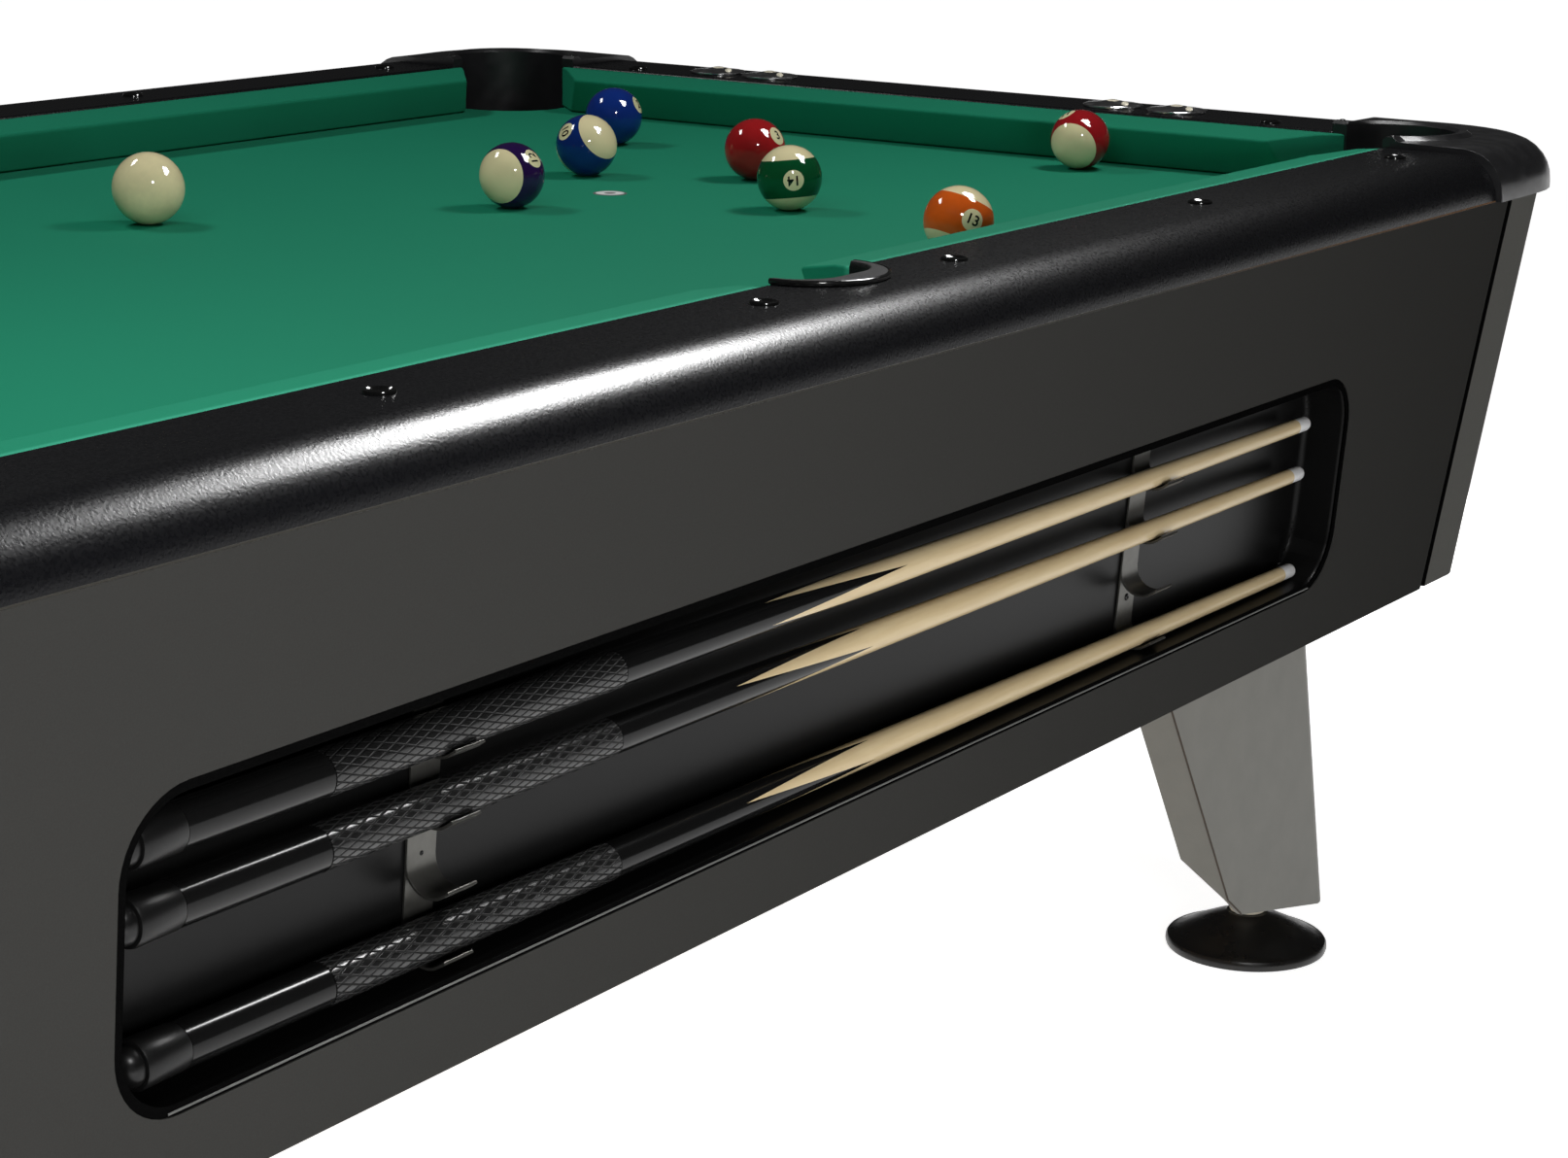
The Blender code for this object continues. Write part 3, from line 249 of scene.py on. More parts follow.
def rod(name, points, radius, mat):
    obj = draw_line(name, points)
    bpy.ops.object.mode_set(mode="OBJECT")
    bpy.ops.object.convert(target="CURVE")
    bead = bpy.context.object
    bead.data.bevel_depth = radius
    bead.data.bevel_resolution = 3
    bead.data.use_fill_caps = True
    bpy.ops.object.convert(target="MESH")
    bead = bpy.context.object
    bpy.ops.object.mode_set(mode="EDIT")
    bpy.ops.mesh.select_all(action="SELECT")
    bpy.ops.mesh.remove_doubles(threshold=0.00002)
    bpy.ops.mesh.normals_make_consistent(inside=False)
    bpy.ops.object.mode_set(mode="OBJECT")
    bpy.ops.object.shade_smooth_by_angle(angle=math.radians(40.0))
    bead.data.materials.append(mat)
    return bead


leg_grey = finish("leg_grey", (0.182, 0.178, 0.157), 0.46, metallic=0.35)
grain(leg_grey, 0.030, 0.00006, 0.06)
fold_line_brown = finish("fold_line_brown", (0.030, 0.018, 0.008), 0.6)
grain(fold_line_brown, 0.003, 0.00006, 0.3)
FOLD_LINE_R = 0.0010
FOLD = ((0.6770, 0.4715, 0.3950), (0.8208, 0.4951, 0.1040), (0.8471, 0.4969, 0.0830))
for tag, sx, sy in CORNERS:
    leg = dressed("leg_sheet_" + tag, "leg_" + tag, leg_grey, 0.0005)
    seam = rod("leg_fold_line_" + tag, [(sx * x, sy * y, z) for x, y, z in FOLD], FOLD_LINE_R, fold_line_brown)
    for piece in (leg, seam):
        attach(piece, "table")
    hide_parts("leg_" + tag)


# Cabinet: four leaning boards faced with charcoal laminate on a plywood floor, with the slate's frame
# inside. The near board has the long window for the cues, the far one the ball window and the coin unit.
laminate = finish("laminate", (0.0460, 0.0453, 0.0427), 0.60, specular=0.0)
grain(laminate, 0.0009, 0.00002, 0.08)
BOARD_EASE = 0.0008
for cad in ("front_side_panel", "back_side_panel", "foot_end_panel", "head_end_panel"):
    board = dressed(cad + "_board", cad, laminate, BOARD_EASE)
    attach(board, "table")
    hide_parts(cad)
plywood = finish("plywood", (0.42, 0.28, 0.15), 0.7)
grain(plywood, 0.012, 0.00008, 0.22, (6.0, 1.0, 1.0), 5.0)
for cad in ("cabinet_floor", "slate_frame"):
    board = dressed(cad + "_board", cad, plywood, BOARD_EASE)
    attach(board, "table")
    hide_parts(cad)


# Corner trims: moulded grey angles that close the cabinet's corners, a shade lighter than the boards.
# An open joint sets each one off from them; its side walls are painted black as shade.
trim_grey = finish("trim_grey", (0.120, 0.118, 0.108), 0.55, specular=0.02)
grain(trim_grey, 0.0011, 0.00008, 0.08)
# Painted shade: a dull black finish for faces that lie in shade.
painted_shade_black = finish("painted_shade_black", (0.003, 0.003, 0.003), 0.8, specular=0.0)
grain(painted_shade_black, 0.002, 0.00004, 0.2)
for tag, sx, sy in CORNERS:
    trim = dressed("corner_trim_" + tag, "corner_post_" + tag, trim_grey, 0.0015, segments=3)
    trim.data.materials.append(painted_shade_black)
    # The trim's side walls, which face the boards, get the painted shade black.
    for face in trim.data.polygons:
        face.material_index = int(face.normal.x * sx < -0.5 or face.normal.y * sy < -0.5)
    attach(trim, "table")
    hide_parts("corner_post_" + tag)


# Cue tray: one glossy black vacuum moulding behind the window, with a lip inside the board's edge.
# Its back wall runs into the sides in a soft round, as sheet drawn over a form does. The lip is
# painted dull black as shade, and a pale rod along its lower edge is a painted highlight.
tray_black = finish("tray_black", (0.004, 0.004, 0.004), 0.36, specular=0.13)
grain(tray_black, 0.004, 0.00001, 0.1)
TRAY_CENTRE = Vector((0.0, -0.61879, 0.5445))
TRAY_IN = Vector((0.0, 0.99705, 0.076758))
TRAY_UP = Vector((0.0, -0.076758, 0.99705))
TRAY_BACK = 0.0413
TRAY_ROUND = 0.006
LIP_DEPTH = 0.0040
EDGE_HALF = 0.705
EDGE_DOWN = 0.0934
EDGE_IN = 0.0012
EDGE_R = 0.0008
tray = dressed("cue_tray_shell", "cue_tray", tray_black, 0.0)
for edge in tray.data.edges:
    depths = [(tray.data.vertices[i].co - TRAY_CENTRE).dot(TRAY_IN) for i in edge.vertices]
    edge.select = all(abs(depth - TRAY_BACK) < 0.0004 for depth in depths)
bpy.context.tool_settings.mesh_select_mode = (False, True, False)
bpy.ops.object.mode_set(mode="EDIT")
bpy.ops.mesh.bevel(offset=TRAY_ROUND, segments=6, affect="EDGES")
bpy.ops.object.mode_set(mode="OBJECT")
bpy.context.tool_settings.mesh_select_mode = (True, False, False)
eased(tray, 0.0, 40.0)
# The lip's faces get the painted shade black.
tray.data.materials.append(painted_shade_black)
for face in tray.data.polygons:
    face.material_index = int((face.center - TRAY_CENTRE).dot(TRAY_IN) < LIP_DEPTH)
# Painted highlight: a pale grey rod laid along the lip's lower edge.
lip_highlight_grey = finish("lip_highlight_grey", (0.130, 0.130, 0.126), 0.35, specular=0.4)
grain(lip_highlight_grey, 0.004, 0.00003, 0.25, (6.0, 1.0, 1.0))
middle = TRAY_CENTRE - TRAY_UP * EDGE_DOWN + TRAY_IN * EDGE_IN
edge_line = [middle + Vector((x, 0.0, 0.0)) for x in (-EDGE_HALF, 0.0, EDGE_HALF)]
tray_edge = rod("cue_tray_highlight_line", edge_line, EDGE_R, lip_highlight_grey)
for piece in (tray, tray_edge):
    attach(piece, "table")
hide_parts("cue_tray")


# Hook strips: sheet steel, punched and bent into J hooks, four to a strip.
# Each is held to the tray by two small round-headed screws between the hooks.
def laid(piece, place, turn):
    piece.rotation_euler = turn
    piece.location = place
    bpy.ops.object.transform_apply(location=True, rotation=True, scale=True)
    return piece


def screw_head(name, place, out, radius, rise, mat):
    profile = ((0.0, rise * 0.45), (radius * 0.34, rise * 0.45), (radius * 0.40, rise))
    profile += ((radius * 0.66, rise * 0.92), (radius * 0.88, rise * 0.62), (radius, rise * 0.15))
    profile += ((radius, -0.0003), (0.0, -0.0003))
    head = turned(name, profile, (0.0, 0.0, 0.0), mat, steps=28)
    return laid(head, place, Vector(out).to_track_quat("Z", "Y").to_euler())


hook_grey = finish("hook_grey", (0.110, 0.108, 0.099), 0.34, metallic=0.75)
grain(hook_grey, 0.006, 0.00002, 0.10)
screw_black = finish("screw_black", (0.030, 0.030, 0.030), 0.28, metallic=0.8)
grain(screw_black, 0.0010, 0.00002, 0.15)
STRIP_FACE = 0.0390
UPPER_SCREW = 0.081
STRIPS = (("hook_strip_butt", -0.4555, -0.0250, 0.0016), ("hook_strip_shaft", 0.4325, -0.0530, 0.0030))
for cad, x, lower, radius in STRIPS:
    strip = dressed(cad + "_sheet", cad, hook_grey, 0.0006)
    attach(strip, "table")
    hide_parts(cad)
    for i, up in enumerate((UPPER_SCREW, lower)):
        place = TRAY_CENTRE + Vector((x, 0.0, 0.0)) + TRAY_UP * up + TRAY_IN * STRIP_FACE
        name = "%s_screw_%d" % (cad, i + 1)
        head = screw_head(name, place, -TRAY_IN, radius, radius * 0.4, screw_black)
        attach(head, "table")


# Cues: house cues of lacquered maple spliced into a black butt, with a rubber bumper in a sleeve, an
# embossed grip and a white ferrule. Six turned pieces share an axis between the end rings of each solid,
# and the four points of the splice are in the wood's colour.
GRIP_STARTS = 16
GRIP_PITCH = 0.016
GRIP_GROOVE = 0.16
GRIP_RELIEF = 0.0006
WAVES_OFF = 1000.0
BUTT_BLACK = (0.006, 0.006, 0.006)
CUES = (
    ("cue_upper", -0.135, 0.171, 0.35),
    ("cue_middle", -0.170, 0.167, -0.55),
    ("cue_lower", -0.147, 0.162, -0.45),
)


def calc(mat, operation, *values):
    made = node(mat, "ShaderNodeMath", operation=operation)
    for socket, value in zip(made.inputs, values):
        if isinstance(value, bpy.types.NodeSocket):
            join(mat, value, socket)
        else:
            socket.default_value = value
    return made.outputs[0]


def axes(mat, vector):
    parts = node(mat, "ShaderNodeSeparateXYZ")
    join(mat, vector, parts.inputs["Vector"])
    return [parts.outputs[label] for label in "XYZ"]


def blend(mat, share, first, second):
    made = node(mat, "ShaderNodeMix", data_type="RGBA")
    join(mat, share, made.inputs["Factor"])
    for label, value in (("A", first), ("B", second)):
        if isinstance(value, bpy.types.NodeSocket):
            join(mat, value, made.inputs[label])
        else:
            made.inputs[label].default_value = (*value, 1.0)
    join(mat, made.outputs["Result"], surface(mat, "Base Color"))


def grip_skin(name, start, tilt):
    mat = finish(name, (0.008, 0.008, 0.008), 0.22, specular=0.50)
    x, y, z = axes(mat, object_place(mat, start, tilt))
    angle = calc(mat, "ARCTAN2", y, z)
    lines = []
    for starts in (GRIP_STARTS, -GRIP_STARTS):
        along = calc(mat, "MULTIPLY_ADD", x, 1.0 / GRIP_PITCH, WAVES_OFF)
        helix = calc(mat, "MULTIPLY_ADD", angle, starts / (2 * math.pi), along)
        lines.append(calc(mat, "PINGPONG", helix, 0.5))
    pad = remap(mat, calc(mat, "MINIMUM", *lines), (0.0, GRIP_GROOVE), kind="SMOOTHSTEP")
    raised(mat, pad, GRIP_RELIEF)
    join(mat, remap(mat, pad, (0.0, 1.0), (0.95, 0.22)), surface(mat, "Roughness"))
    blend(mat, pad, (0.001, 0.001, 0.001), (0.010, 0.010, 0.010))
    return mat


def cue_wood(name, start, tilt, split, spread, turn):
    mat = finish(name, BUTT_BLACK, 0.16, specular=0.22)
    vector = object_place(mat, start, tilt)
    x, y, z = axes(mat, vector)
    angle = calc(mat, "ADD", calc(mat, "ARCTAN2", y, z), turn + 4 * math.pi)
    wave = calc(mat, "PINGPONG", angle, math.pi / 4)
    edge = calc(mat, "MULTIPLY_ADD", wave, spread / (math.pi / 4), split - start.x)
    streak = node(mat, "ShaderNodeMapping", vector_type="TEXTURE")
    streak.inputs["Scale"].default_value = (14.0, 1.0, 1.0)
    join(mat, vector, streak.inputs["Vector"])
    noise = node(mat, "ShaderNodeTexNoise")
    noise.inputs["Scale"].default_value = 180.0
    noise.inputs["Detail"].default_value = 4.0
    join(mat, streak.outputs["Vector"], noise.inputs["Vector"])
    maple = ramp(mat, noise.outputs["Fac"], (0.25, (0.66, 0.50, 0.28)), (0.75, (0.79, 0.64, 0.39)))
    blend(mat, calc(mat, "GREATER_THAN", x, edge), BUTT_BLACK, maple)
    return mat


bumper_rubber = finish("bumper_rubber", (0.004, 0.004, 0.004), 0.32, specular=0.30)
grain(bumper_rubber, 0.0008, 0.00002)
sleeve_rubber = finish("sleeve_rubber", (0.006, 0.006, 0.006), 0.34, specular=0.25)
grain(sleeve_rubber, 0.0009, 0.00004, 0.10)
ferrule_white = finish("ferrule_white", (0.82, 0.82, 0.82), 0.35)
grain(ferrule_white, 0.002, 0.00002, 0.03)
BUMPER = ((0.0, 0.0), (0.0042, 0.0004), (0.0080, 0.0020), (0.0106, 0.0048), (0.0120, 0.0085))
BUMPER += ((0.0123, 0.0120), (0.0123, 0.0132), (0.0, 0.0132))
SLEEVE = ((0.0, 0.0134), (0.0130, 0.0134), (0.0143, 0.0139), (0.0149, 0.0156), (0.0145, 0.0280))
SLEEVE += ((0.0141, 0.0464), (0.0136, 0.0476), (0.0, 0.0476))
THICK_R = 0.0147
TIP_R = 0.0063
TIP_L = 0.0240
for cad, split, spread, turn in CUES:
    low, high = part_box(cad)
    ends = []
    for x in (low[0], high[0]):
        ring = [v.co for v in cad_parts[cad].data.vertices if abs(v.co.x - x) < 0.0005]
        ys = [p.y for p in ring]
        zs = [p.z for p in ring]
        ends.append(Vector((x, (min(ys) + max(ys)) / 2, (min(zs) + max(zs)) / 2)))
    start = ends[0]
    tilt = (ends[1] - start).to_track_quat("X", "Z").to_euler()
    long = (ends[1] - start).length
    taper = (TIP_R - THICK_R) / long
    butt = ((0.0, 0.0478), (0.0137, 0.0478), (0.0146 + taper * 0.163, 0.1632), (0.0, 0.1632))
    wrap = ((0.0, 0.1640), (THICK_R + taper * 0.140, 0.1640), (THICK_R + taper * 0.412, 0.4360))
    wrap += ((0.0, 0.4360),)
    shaft = ((0.0, 0.4368), (THICK_R + taper * 0.437, 0.4368), (TIP_R - taper * TIP_L, long - TIP_L))
    shaft += ((0.0, long - TIP_L),)
    ferrule = ((0.0, long - 0.0238), (TIP_R, long - 0.0238), (TIP_R, long - 0.0060))
    ferrule += ((0.0058, long - 0.0032), (0.0042, long - 0.0010), (0.0020, long - 0.0002), (0.0, long))
    wood = cue_wood(cad + "_wood", start, tilt, split, spread, turn)
    skin = grip_skin(cad + "_grip_skin", start, tilt)
    lengths = (
        ("_bumper", BUMPER, bumper_rubber, 40),
        ("_sleeve", SLEEVE, sleeve_rubber, 40),
        ("_butt", butt, wood, 48),
        ("_grip", wrap, skin, 48),
        ("_stick", shaft, wood, 48),
        ("_ferrule", ferrule, ferrule_white, 40),
    )
    for tail, profile, mat, steps in lengths:
        piece = laid(turned(cad + tail, profile, (0.0, 0.0, 0.0), mat, "X", steps), start, tilt)
        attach(piece, cad)
        if tail == "_stick":
            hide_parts(cad)


# Slate bed: one ground slab, with the pockets cut out of its edge.
# It lies on the plywood frame under its own weight, and the cloth hides all but its edge.
slate_grey = finish("slate_grey", (0.10, 0.10, 0.11), 0.75)
grain(slate_grey, 0.010, 0.00010, 0.12)
slab = dressed("slate_slab", "slate", slate_grey, 0.0010)
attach(slab, "table")
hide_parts("slate")


# Bed cloth: green worsted stretched over the slate and glued at its edge.
# A pressed spot, dark with a pale ring, marks the foot end of the field.
cloth_green = finish("cloth_green", (0.0110, 0.232, 0.129), 0.92, specular=0.06)
grain(cloth_green, 0.0007, 0.00010, 0.10)
cloth = dressed("bed_cloth_sheet", "bed_cloth", cloth_green, 0.0)
low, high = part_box("bed_cloth")
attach(cloth, "table")
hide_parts("bed_cloth")
SPOT_CENTRE = (0.5100, 0.0055, high[2])
SPOT_R = 0.0155
SPOT = ((0.0, 0.00035), (0.0146, 0.00035), (SPOT_R, 0.0001), (SPOT_R, -0.0002), (0.0, -0.0002))
SPOT_DARK = (0.14, 0.13, 0.13)
SPOT_PALE = (0.66, 0.68, 0.67)
SPOT_RIM = (0.10, 0.12, 0.11)
spot_felt = finish("spot_felt", (0.6, 0.6, 0.6), 0.8, specular=0.2)
reach = node(spot_felt, "ShaderNodeVectorMath", operation="LENGTH")
join(spot_felt, object_place(spot_felt, SPOT_CENTRE), reach.inputs[0])
share = calc(spot_felt, "DIVIDE", reach.outputs["Value"], SPOT_R)
rings = ramp(spot_felt, share, (0.30, SPOT_DARK), (0.38, SPOT_PALE), (0.80, SPOT_PALE), (0.88, SPOT_RIM))
join(spot_felt, rings, surface(spot_felt, "Base Color"))
foot_spot = turned("foot_spot", SPOT, SPOT_CENTRE, spot_felt, steps=48)
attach(foot_spot, "table")


# Rails: black bullnose rails with a fine pebbled laminate, bolted down through the top.
# Under the nose a line of bare brown board shows where the laminate was trimmed.
rail_black = finish("rail_black", (0.0036, 0.0037, 0.0046), 0.36, specular=0.24)
grain(rail_black, 0.0020, 0.00014, 0.0, detail=1.5)
uneven_gloss(rail_black, 0.0022, 0.24, 0.33)
for cad in ("front_rail", "back_rail", "foot_rail", "head_rail"):
    rail = dressed(cad + "_top", cad, rail_black, 0.0008, 25.0)
    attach(rail, "table")
    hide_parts(cad)
board_edge = finish("board_edge", (0.075, 0.034, 0.010), 0.7, specular=0.2)
fade = remap(board_edge, axes(board_edge, object_place(board_edge))[0], (0.3, 1.0))
stain = ramp(board_edge, fade, (0.0, (0.032, 0.030, 0.025)), (1.0, (0.130, 0.058, 0.016)))
join(board_edge, stain, surface(board_edge, "Base Color"))
STRIP_HALF = 0.0007
STRIP_SUNK = 0.0004
STRIP_SHORT = 0.002
STRIP_UP = 0.7700
for cad, sx, sy in (("front_rail", 0, -1), ("back_rail", 0, 1), ("foot_rail", 1, 0), ("head_rail", -1, 0)):
    low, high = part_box(cad)
    out_x = max(-low[0], high[0]) - STRIP_SUNK
    out_y = max(-low[1], high[1]) - STRIP_SUNK
    half_x = STRIP_HALF if sx else high[0] - STRIP_SHORT
    half_y = STRIP_HALF if sy else high[1] - STRIP_SHORT
    place = (sx * out_x, sy * out_y, STRIP_UP)
    bpy.ops.object.select_all(action="DESELECT")
    bpy.ops.mesh.primitive_cube_add(size=2.0, location=place, scale=(half_x, half_y, STRIP_HALF))
    bpy.ops.object.transform_apply(location=True, rotation=True, scale=True)
    strip = bpy.context.object
    strip.name = cad + "_board_edge"
    bpy.ops.object.mode_set(mode="EDIT")
    bpy.ops.mesh.select_all(action="SELECT")
    bpy.ops.mesh.bevel(offset=0.0003, segments=2, affect="EDGES")
    bpy.ops.object.mode_set(mode="OBJECT")
    strip.data.materials.append(board_edge)
    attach(strip, "table")


# Bolt caps: glossy black plugs pressed over the rail bolts, six to a long rail and two to an end rail.
# A raised rim round a shallow dish.
plug_black = finish("plug_black", (0.004, 0.004, 0.004), 0.12, specular=0.8)
grain(plug_black, 0.002, 0.000004)
PLUG = ((0.0, 0.0005), (0.0058, 0.0006), (0.0074, 0.0014), (0.0085, 0.0022), (0.0095, 0.0019))
PLUG += ((0.0100, 0.0010), (0.0101, -0.0004), (0.0, -0.0004))
SIDE_BOLTS = (-0.884, -0.502, -0.120, 0.120, 0.502, 0.884)
SIDE_LINE = 0.5905
END_BOLTS = (-0.381, 0.381)
END_LINE = 1.0635
plug_places = [("front", x, -SIDE_LINE) for x in SIDE_BOLTS]
plug_places += [("back", x, SIDE_LINE) for x in SIDE_BOLTS]
plug_places += [("foot", END_LINE, y) for y in END_BOLTS]
plug_places += [("head", -END_LINE, y) for y in END_BOLTS]
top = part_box("front_rail")[1][2]
for i, (tag, x, y) in enumerate(plug_places):
    plug = turned("bolt_cap_%s_%02d" % (tag, i + 1), PLUG, (x, y, top), plug_black, steps=40)
    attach(plug, "table")


# Cushions: rubber under the same cloth, cut back at an angle beside the pockets.
# The cloth is pulled tight over the nose and tucked under it; the near covers carry a painted sheen, lighter
# overall and lightest along the rail.
cushion_green = finish("cushion_green", (0.0100, 0.212, 0.117), 0.92, specular=0.06)
grain(cushion_green, 0.0007, 0.00010, 0.10)
# Painted sheen: the near covers are a lighter copy of the cushion green, lightest in a band along the rail.
cushion_sheen_green = finish("cushion_sheen_green", (0.0120, 0.240, 0.134), 0.92, specular=0.06)
grain(cushion_sheen_green, 0.0007, 0.00010, 0.10)
SHEEN_FROM = -0.5370
SHEEN_TO = -0.5420
across = axes(cushion_sheen_green, object_place(cushion_sheen_green))[1]
sheen_band = remap(cushion_sheen_green, across, (SHEEN_FROM, SHEEN_TO), kind="SMOOTHSTEP")
plain = surface(cushion_sheen_green, "Base Color").links[0].from_socket
blend(cushion_sheen_green, sheen_band, plain, (0.040, 0.370, 0.225))
CUSHIONS = ("front_cushion_foot", "front_cushion_head", "back_cushion_foot", "back_cushion_head")
CUSHIONS += ("foot_cushion", "head_cushion")
for cad in CUSHIONS:
    green = cushion_sheen_green if cad.startswith("front") else cushion_green
    cushion = dressed(cad + "_cover", cad, green, 0.0020, segments=3)
    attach(cushion, "table")
    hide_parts(cad)


# Corner castings: smooth satin black caps that wrap the rail corners and line the pocket throats.
# The ends of each cap's arms stand proud of the rails in a rolled edge, painted lighter grey as a highlight;
# two screws hold them.
casting_black = finish("casting_black", (0.011, 0.011, 0.012), 0.26, specular=0.5)
grain(casting_black, 0.003, 0.00002)
uneven_gloss(casting_black, 0.015, 0.28, 0.36)
# Painted highlight: the rolled edges are a lighter grey than the casting.
roll_highlight_grey = finish("roll_highlight_grey", (0.085, 0.085, 0.090), 0.30)
grain(roll_highlight_grey, 0.006, 0.00002, 0.25)
NOSE_R = 0.0425
NOSE_UP = 0.7690
NOSE_X = 1.1340
NOSE_Y = 0.6225
ROLL_R = 0.0030
ROLL_X = 1.0510
ROLL_Y = 0.5560
ROLL_STEPS = 24
CAP_SCREWS = ((0.9585, 0.5550), (1.0500, 0.4630))
turns = [math.pi / 2 * i / ROLL_STEPS for i in range(ROLL_STEPS + 1)]
bow = [(NOSE_R * math.sin(a), NOSE_UP + NOSE_R * math.cos(a)) for a in turns]
for tag, sx, sy in CORNERS:
    cap = dressed("corner_casting_" + tag, "corner_cap_" + tag, casting_black, 0.0020, segments=3)
    low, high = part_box("corner_cap_" + tag)
    side_x = sx * (min(abs(low[0]), abs(high[0])) + ROLL_R)
    end_y = sy * (min(abs(low[1]), abs(high[1])) + ROLL_R)
    side = [(side_x, sy * ROLL_Y, bow[0][1])] + [(side_x, sy * (NOSE_Y + d), z) for d, z in bow]
    end = [(sx * ROLL_X, end_y, bow[0][1])] + [(sx * (NOSE_X + d), end_y, z) for d, z in bow]
    side_roll = rod("cap_roll_side_" + tag, side, ROLL_R, roll_highlight_grey)
    end_roll = rod("cap_roll_end_" + tag, end, ROLL_R, roll_highlight_grey)
    for piece in (cap, side_roll, end_roll):
        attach(piece, "table")
    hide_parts("corner_cap_" + tag)
    for i, (x, y) in enumerate(CAP_SCREWS):
        name = "cap_screw_%s_%d" % (tag, i + 1)
        head = screw_head(name, (sx * x, sy * y, high[2]), (0.0, 0.0, 1.0), 0.0030, 0.0012, screw_black)
        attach(head, "table")


# Side pocket liners: rough moulded horseshoes let into the rails, thickest at the back.
# A polished bead runs round the outer edge, where the moulding laps the rail.
liner_black = finish("liner_black", (0.006, 0.006, 0.006), 0.60, specular=0.18)
grain(liner_black, 0.0014, 0.00060, 0.3)
bead_black = finish("bead_black", (0.006, 0.006, 0.006), 0.14, specular=0.6)
grain(bead_black, 0.003, 0.00001)
BEAD_R = 0.0019
BEAD_DOWN = 0.0016
BEAD_BOW = 0.0527
BEAD_Y = 0.5490
turns = [math.pi * i / 36 for i in range(37)]
for cad, side in (("side_pocket_front", -1), ("side_pocket_back", 1)):
    liner = dressed(cad + "_liner", cad, liner_black, 0.0012, segments=3)
    bead_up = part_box(cad)[1][2] - BEAD_DOWN
    line = [(BEAD_BOW * math.cos(a), side * (BEAD_Y + BEAD_BOW * math.sin(a)), bead_up) for a in turns]
    bead = rod(cad + "_bead", line, BEAD_R, bead_black)
    for piece in (liner, bead):
        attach(piece, "table")
    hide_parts(cad)


# Ball return: a folded sheet ramp under the slate and a sheet trough, both galvanised.
# A plain steel flap on a pin stands across the trough until a coin is paid.
zinc = finish("zinc", (0.30, 0.31, 0.31), 0.58, metallic=0.7)
grain(zinc, 0.014, 0.00003, 0.14)
for cad in ("ball_ramp", "ball_rack"):
    sheet = dressed(cad + "_sheet", cad, zinc, 0.0005)
    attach(sheet, "table")
    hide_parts(cad)
gate = dressed("release_gate_flap", "release_gate", hook_grey, 0.0006)
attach(gate, "release_gate")
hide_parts("release_gate")


# Coin unit and cash drawer on the far side: a chromed push slide in a screwed bezel, and a painted steel
# drawer under it with a round lock.
chrome = finish("chrome", (0.78, 0.78, 0.79), 0.10, metallic=1.0)
grain(chrome, 0.004, 0.000004)
uneven_gloss(chrome, 0.010, 0.14, 0.26)
BACK_OUT = Vector((0.0, 0.99705, -0.076758))
BACK_UP = Vector((0.0, 0.076758, 0.99705))
COIN_CENTRE = Vector((-0.750, 0.61906, 0.5480))
DRAWER_CENTRE = Vector((-0.750, 0.61198, 0.4560))
FACE_OUT = 0.0058
BEZEL_SCREWS = ((-0.058, -0.028), (0.058, -0.028), (-0.058, 0.028), (0.058, 0.028))
LOCK_UP = 0.012
for cad, body in (("coin_mechanism", "table"), ("coin_slide", "coin_slide")):
    unit = dressed(cad + "_body", cad, chrome, 0.0006)
    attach(unit, body)
    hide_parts(cad)
for i, (u, v) in enumerate(BEZEL_SCREWS):
    place = COIN_CENTRE + Vector((u, 0.0, 0.0)) + BACK_UP * v + BACK_OUT * FACE_OUT
    head = screw_head("coin_bezel_screw_%d" % (i + 1), place, BACK_OUT, 0.0042, 0.0018, chrome)
    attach(head, "table")
drawer = dressed("cash_drawer_box", "cash_drawer", hook_grey, 0.0006)
place = DRAWER_CENTRE + BACK_UP * LOCK_UP + BACK_OUT * FACE_OUT
lock = screw_head("cash_drawer_lock", place, BACK_OUT, 0.0115, 0.0040, chrome)
for piece in (drawer, lock):
    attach(piece, "cash_drawer")
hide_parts("cash_drawer")


# Score dials: low chromed cones, two pairs let into the foot rail, each turned by hand.
# An ivory button caps the middle and a smaller one on the slope is the pointer.
ivory = finish("ivory", (0.80, 0.75, 0.60), 0.22)
grain(ivory, 0.003, 0.00001, 0.05)
DIAL = ((0.0, 0.0), (0.0296, 0.0), (0.0300, 0.0004), (0.0300, 0.0018), (0.0294, 0.0024), (0.0270, 0.0027))
DIAL += ((0.0250, 0.0032), (0.0120, 0.0045), (0.0108, 0.0052), (0.0085, 0.0056), (0.0, 0.0056))
BUTTON = ((0.0, 0.0070), (0.0030, 0.0068), (0.0055, 0.0062), (0.0066, 0.0055), (0.0066, 0.0050))
BUTTON += ((0.0, 0.0050),)
PIP = ((0.0, 0.0066), (0.0018, 0.0063), (0.0032, 0.0055), (0.0036, 0.0044), (0.0036, 0.0030), (0.0, 0.0030))
PIP_X = -0.0060
PIP_Y = -0.0170
for i in range(1, 5):
    cad = "score_dial_%d" % i
    low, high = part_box(cad)
    spot = ((low[0] + high[0]) / 2, (low[1] + high[1]) / 2, low[2])
    cone = turned(cad + "_cone", DIAL, spot, chrome, steps=64, angle=25.0)
    button = turned(cad + "_button", BUTTON, spot, ivory, steps=32)
    pip_spot = (spot[0] + PIP_X, spot[1] + PIP_Y, spot[2])
    pointer = turned(cad + "_pointer", PIP, pip_spot, ivory, steps=28)
    for piece in (cone, button, pointer):
        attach(piece, cad)
    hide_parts(cad)


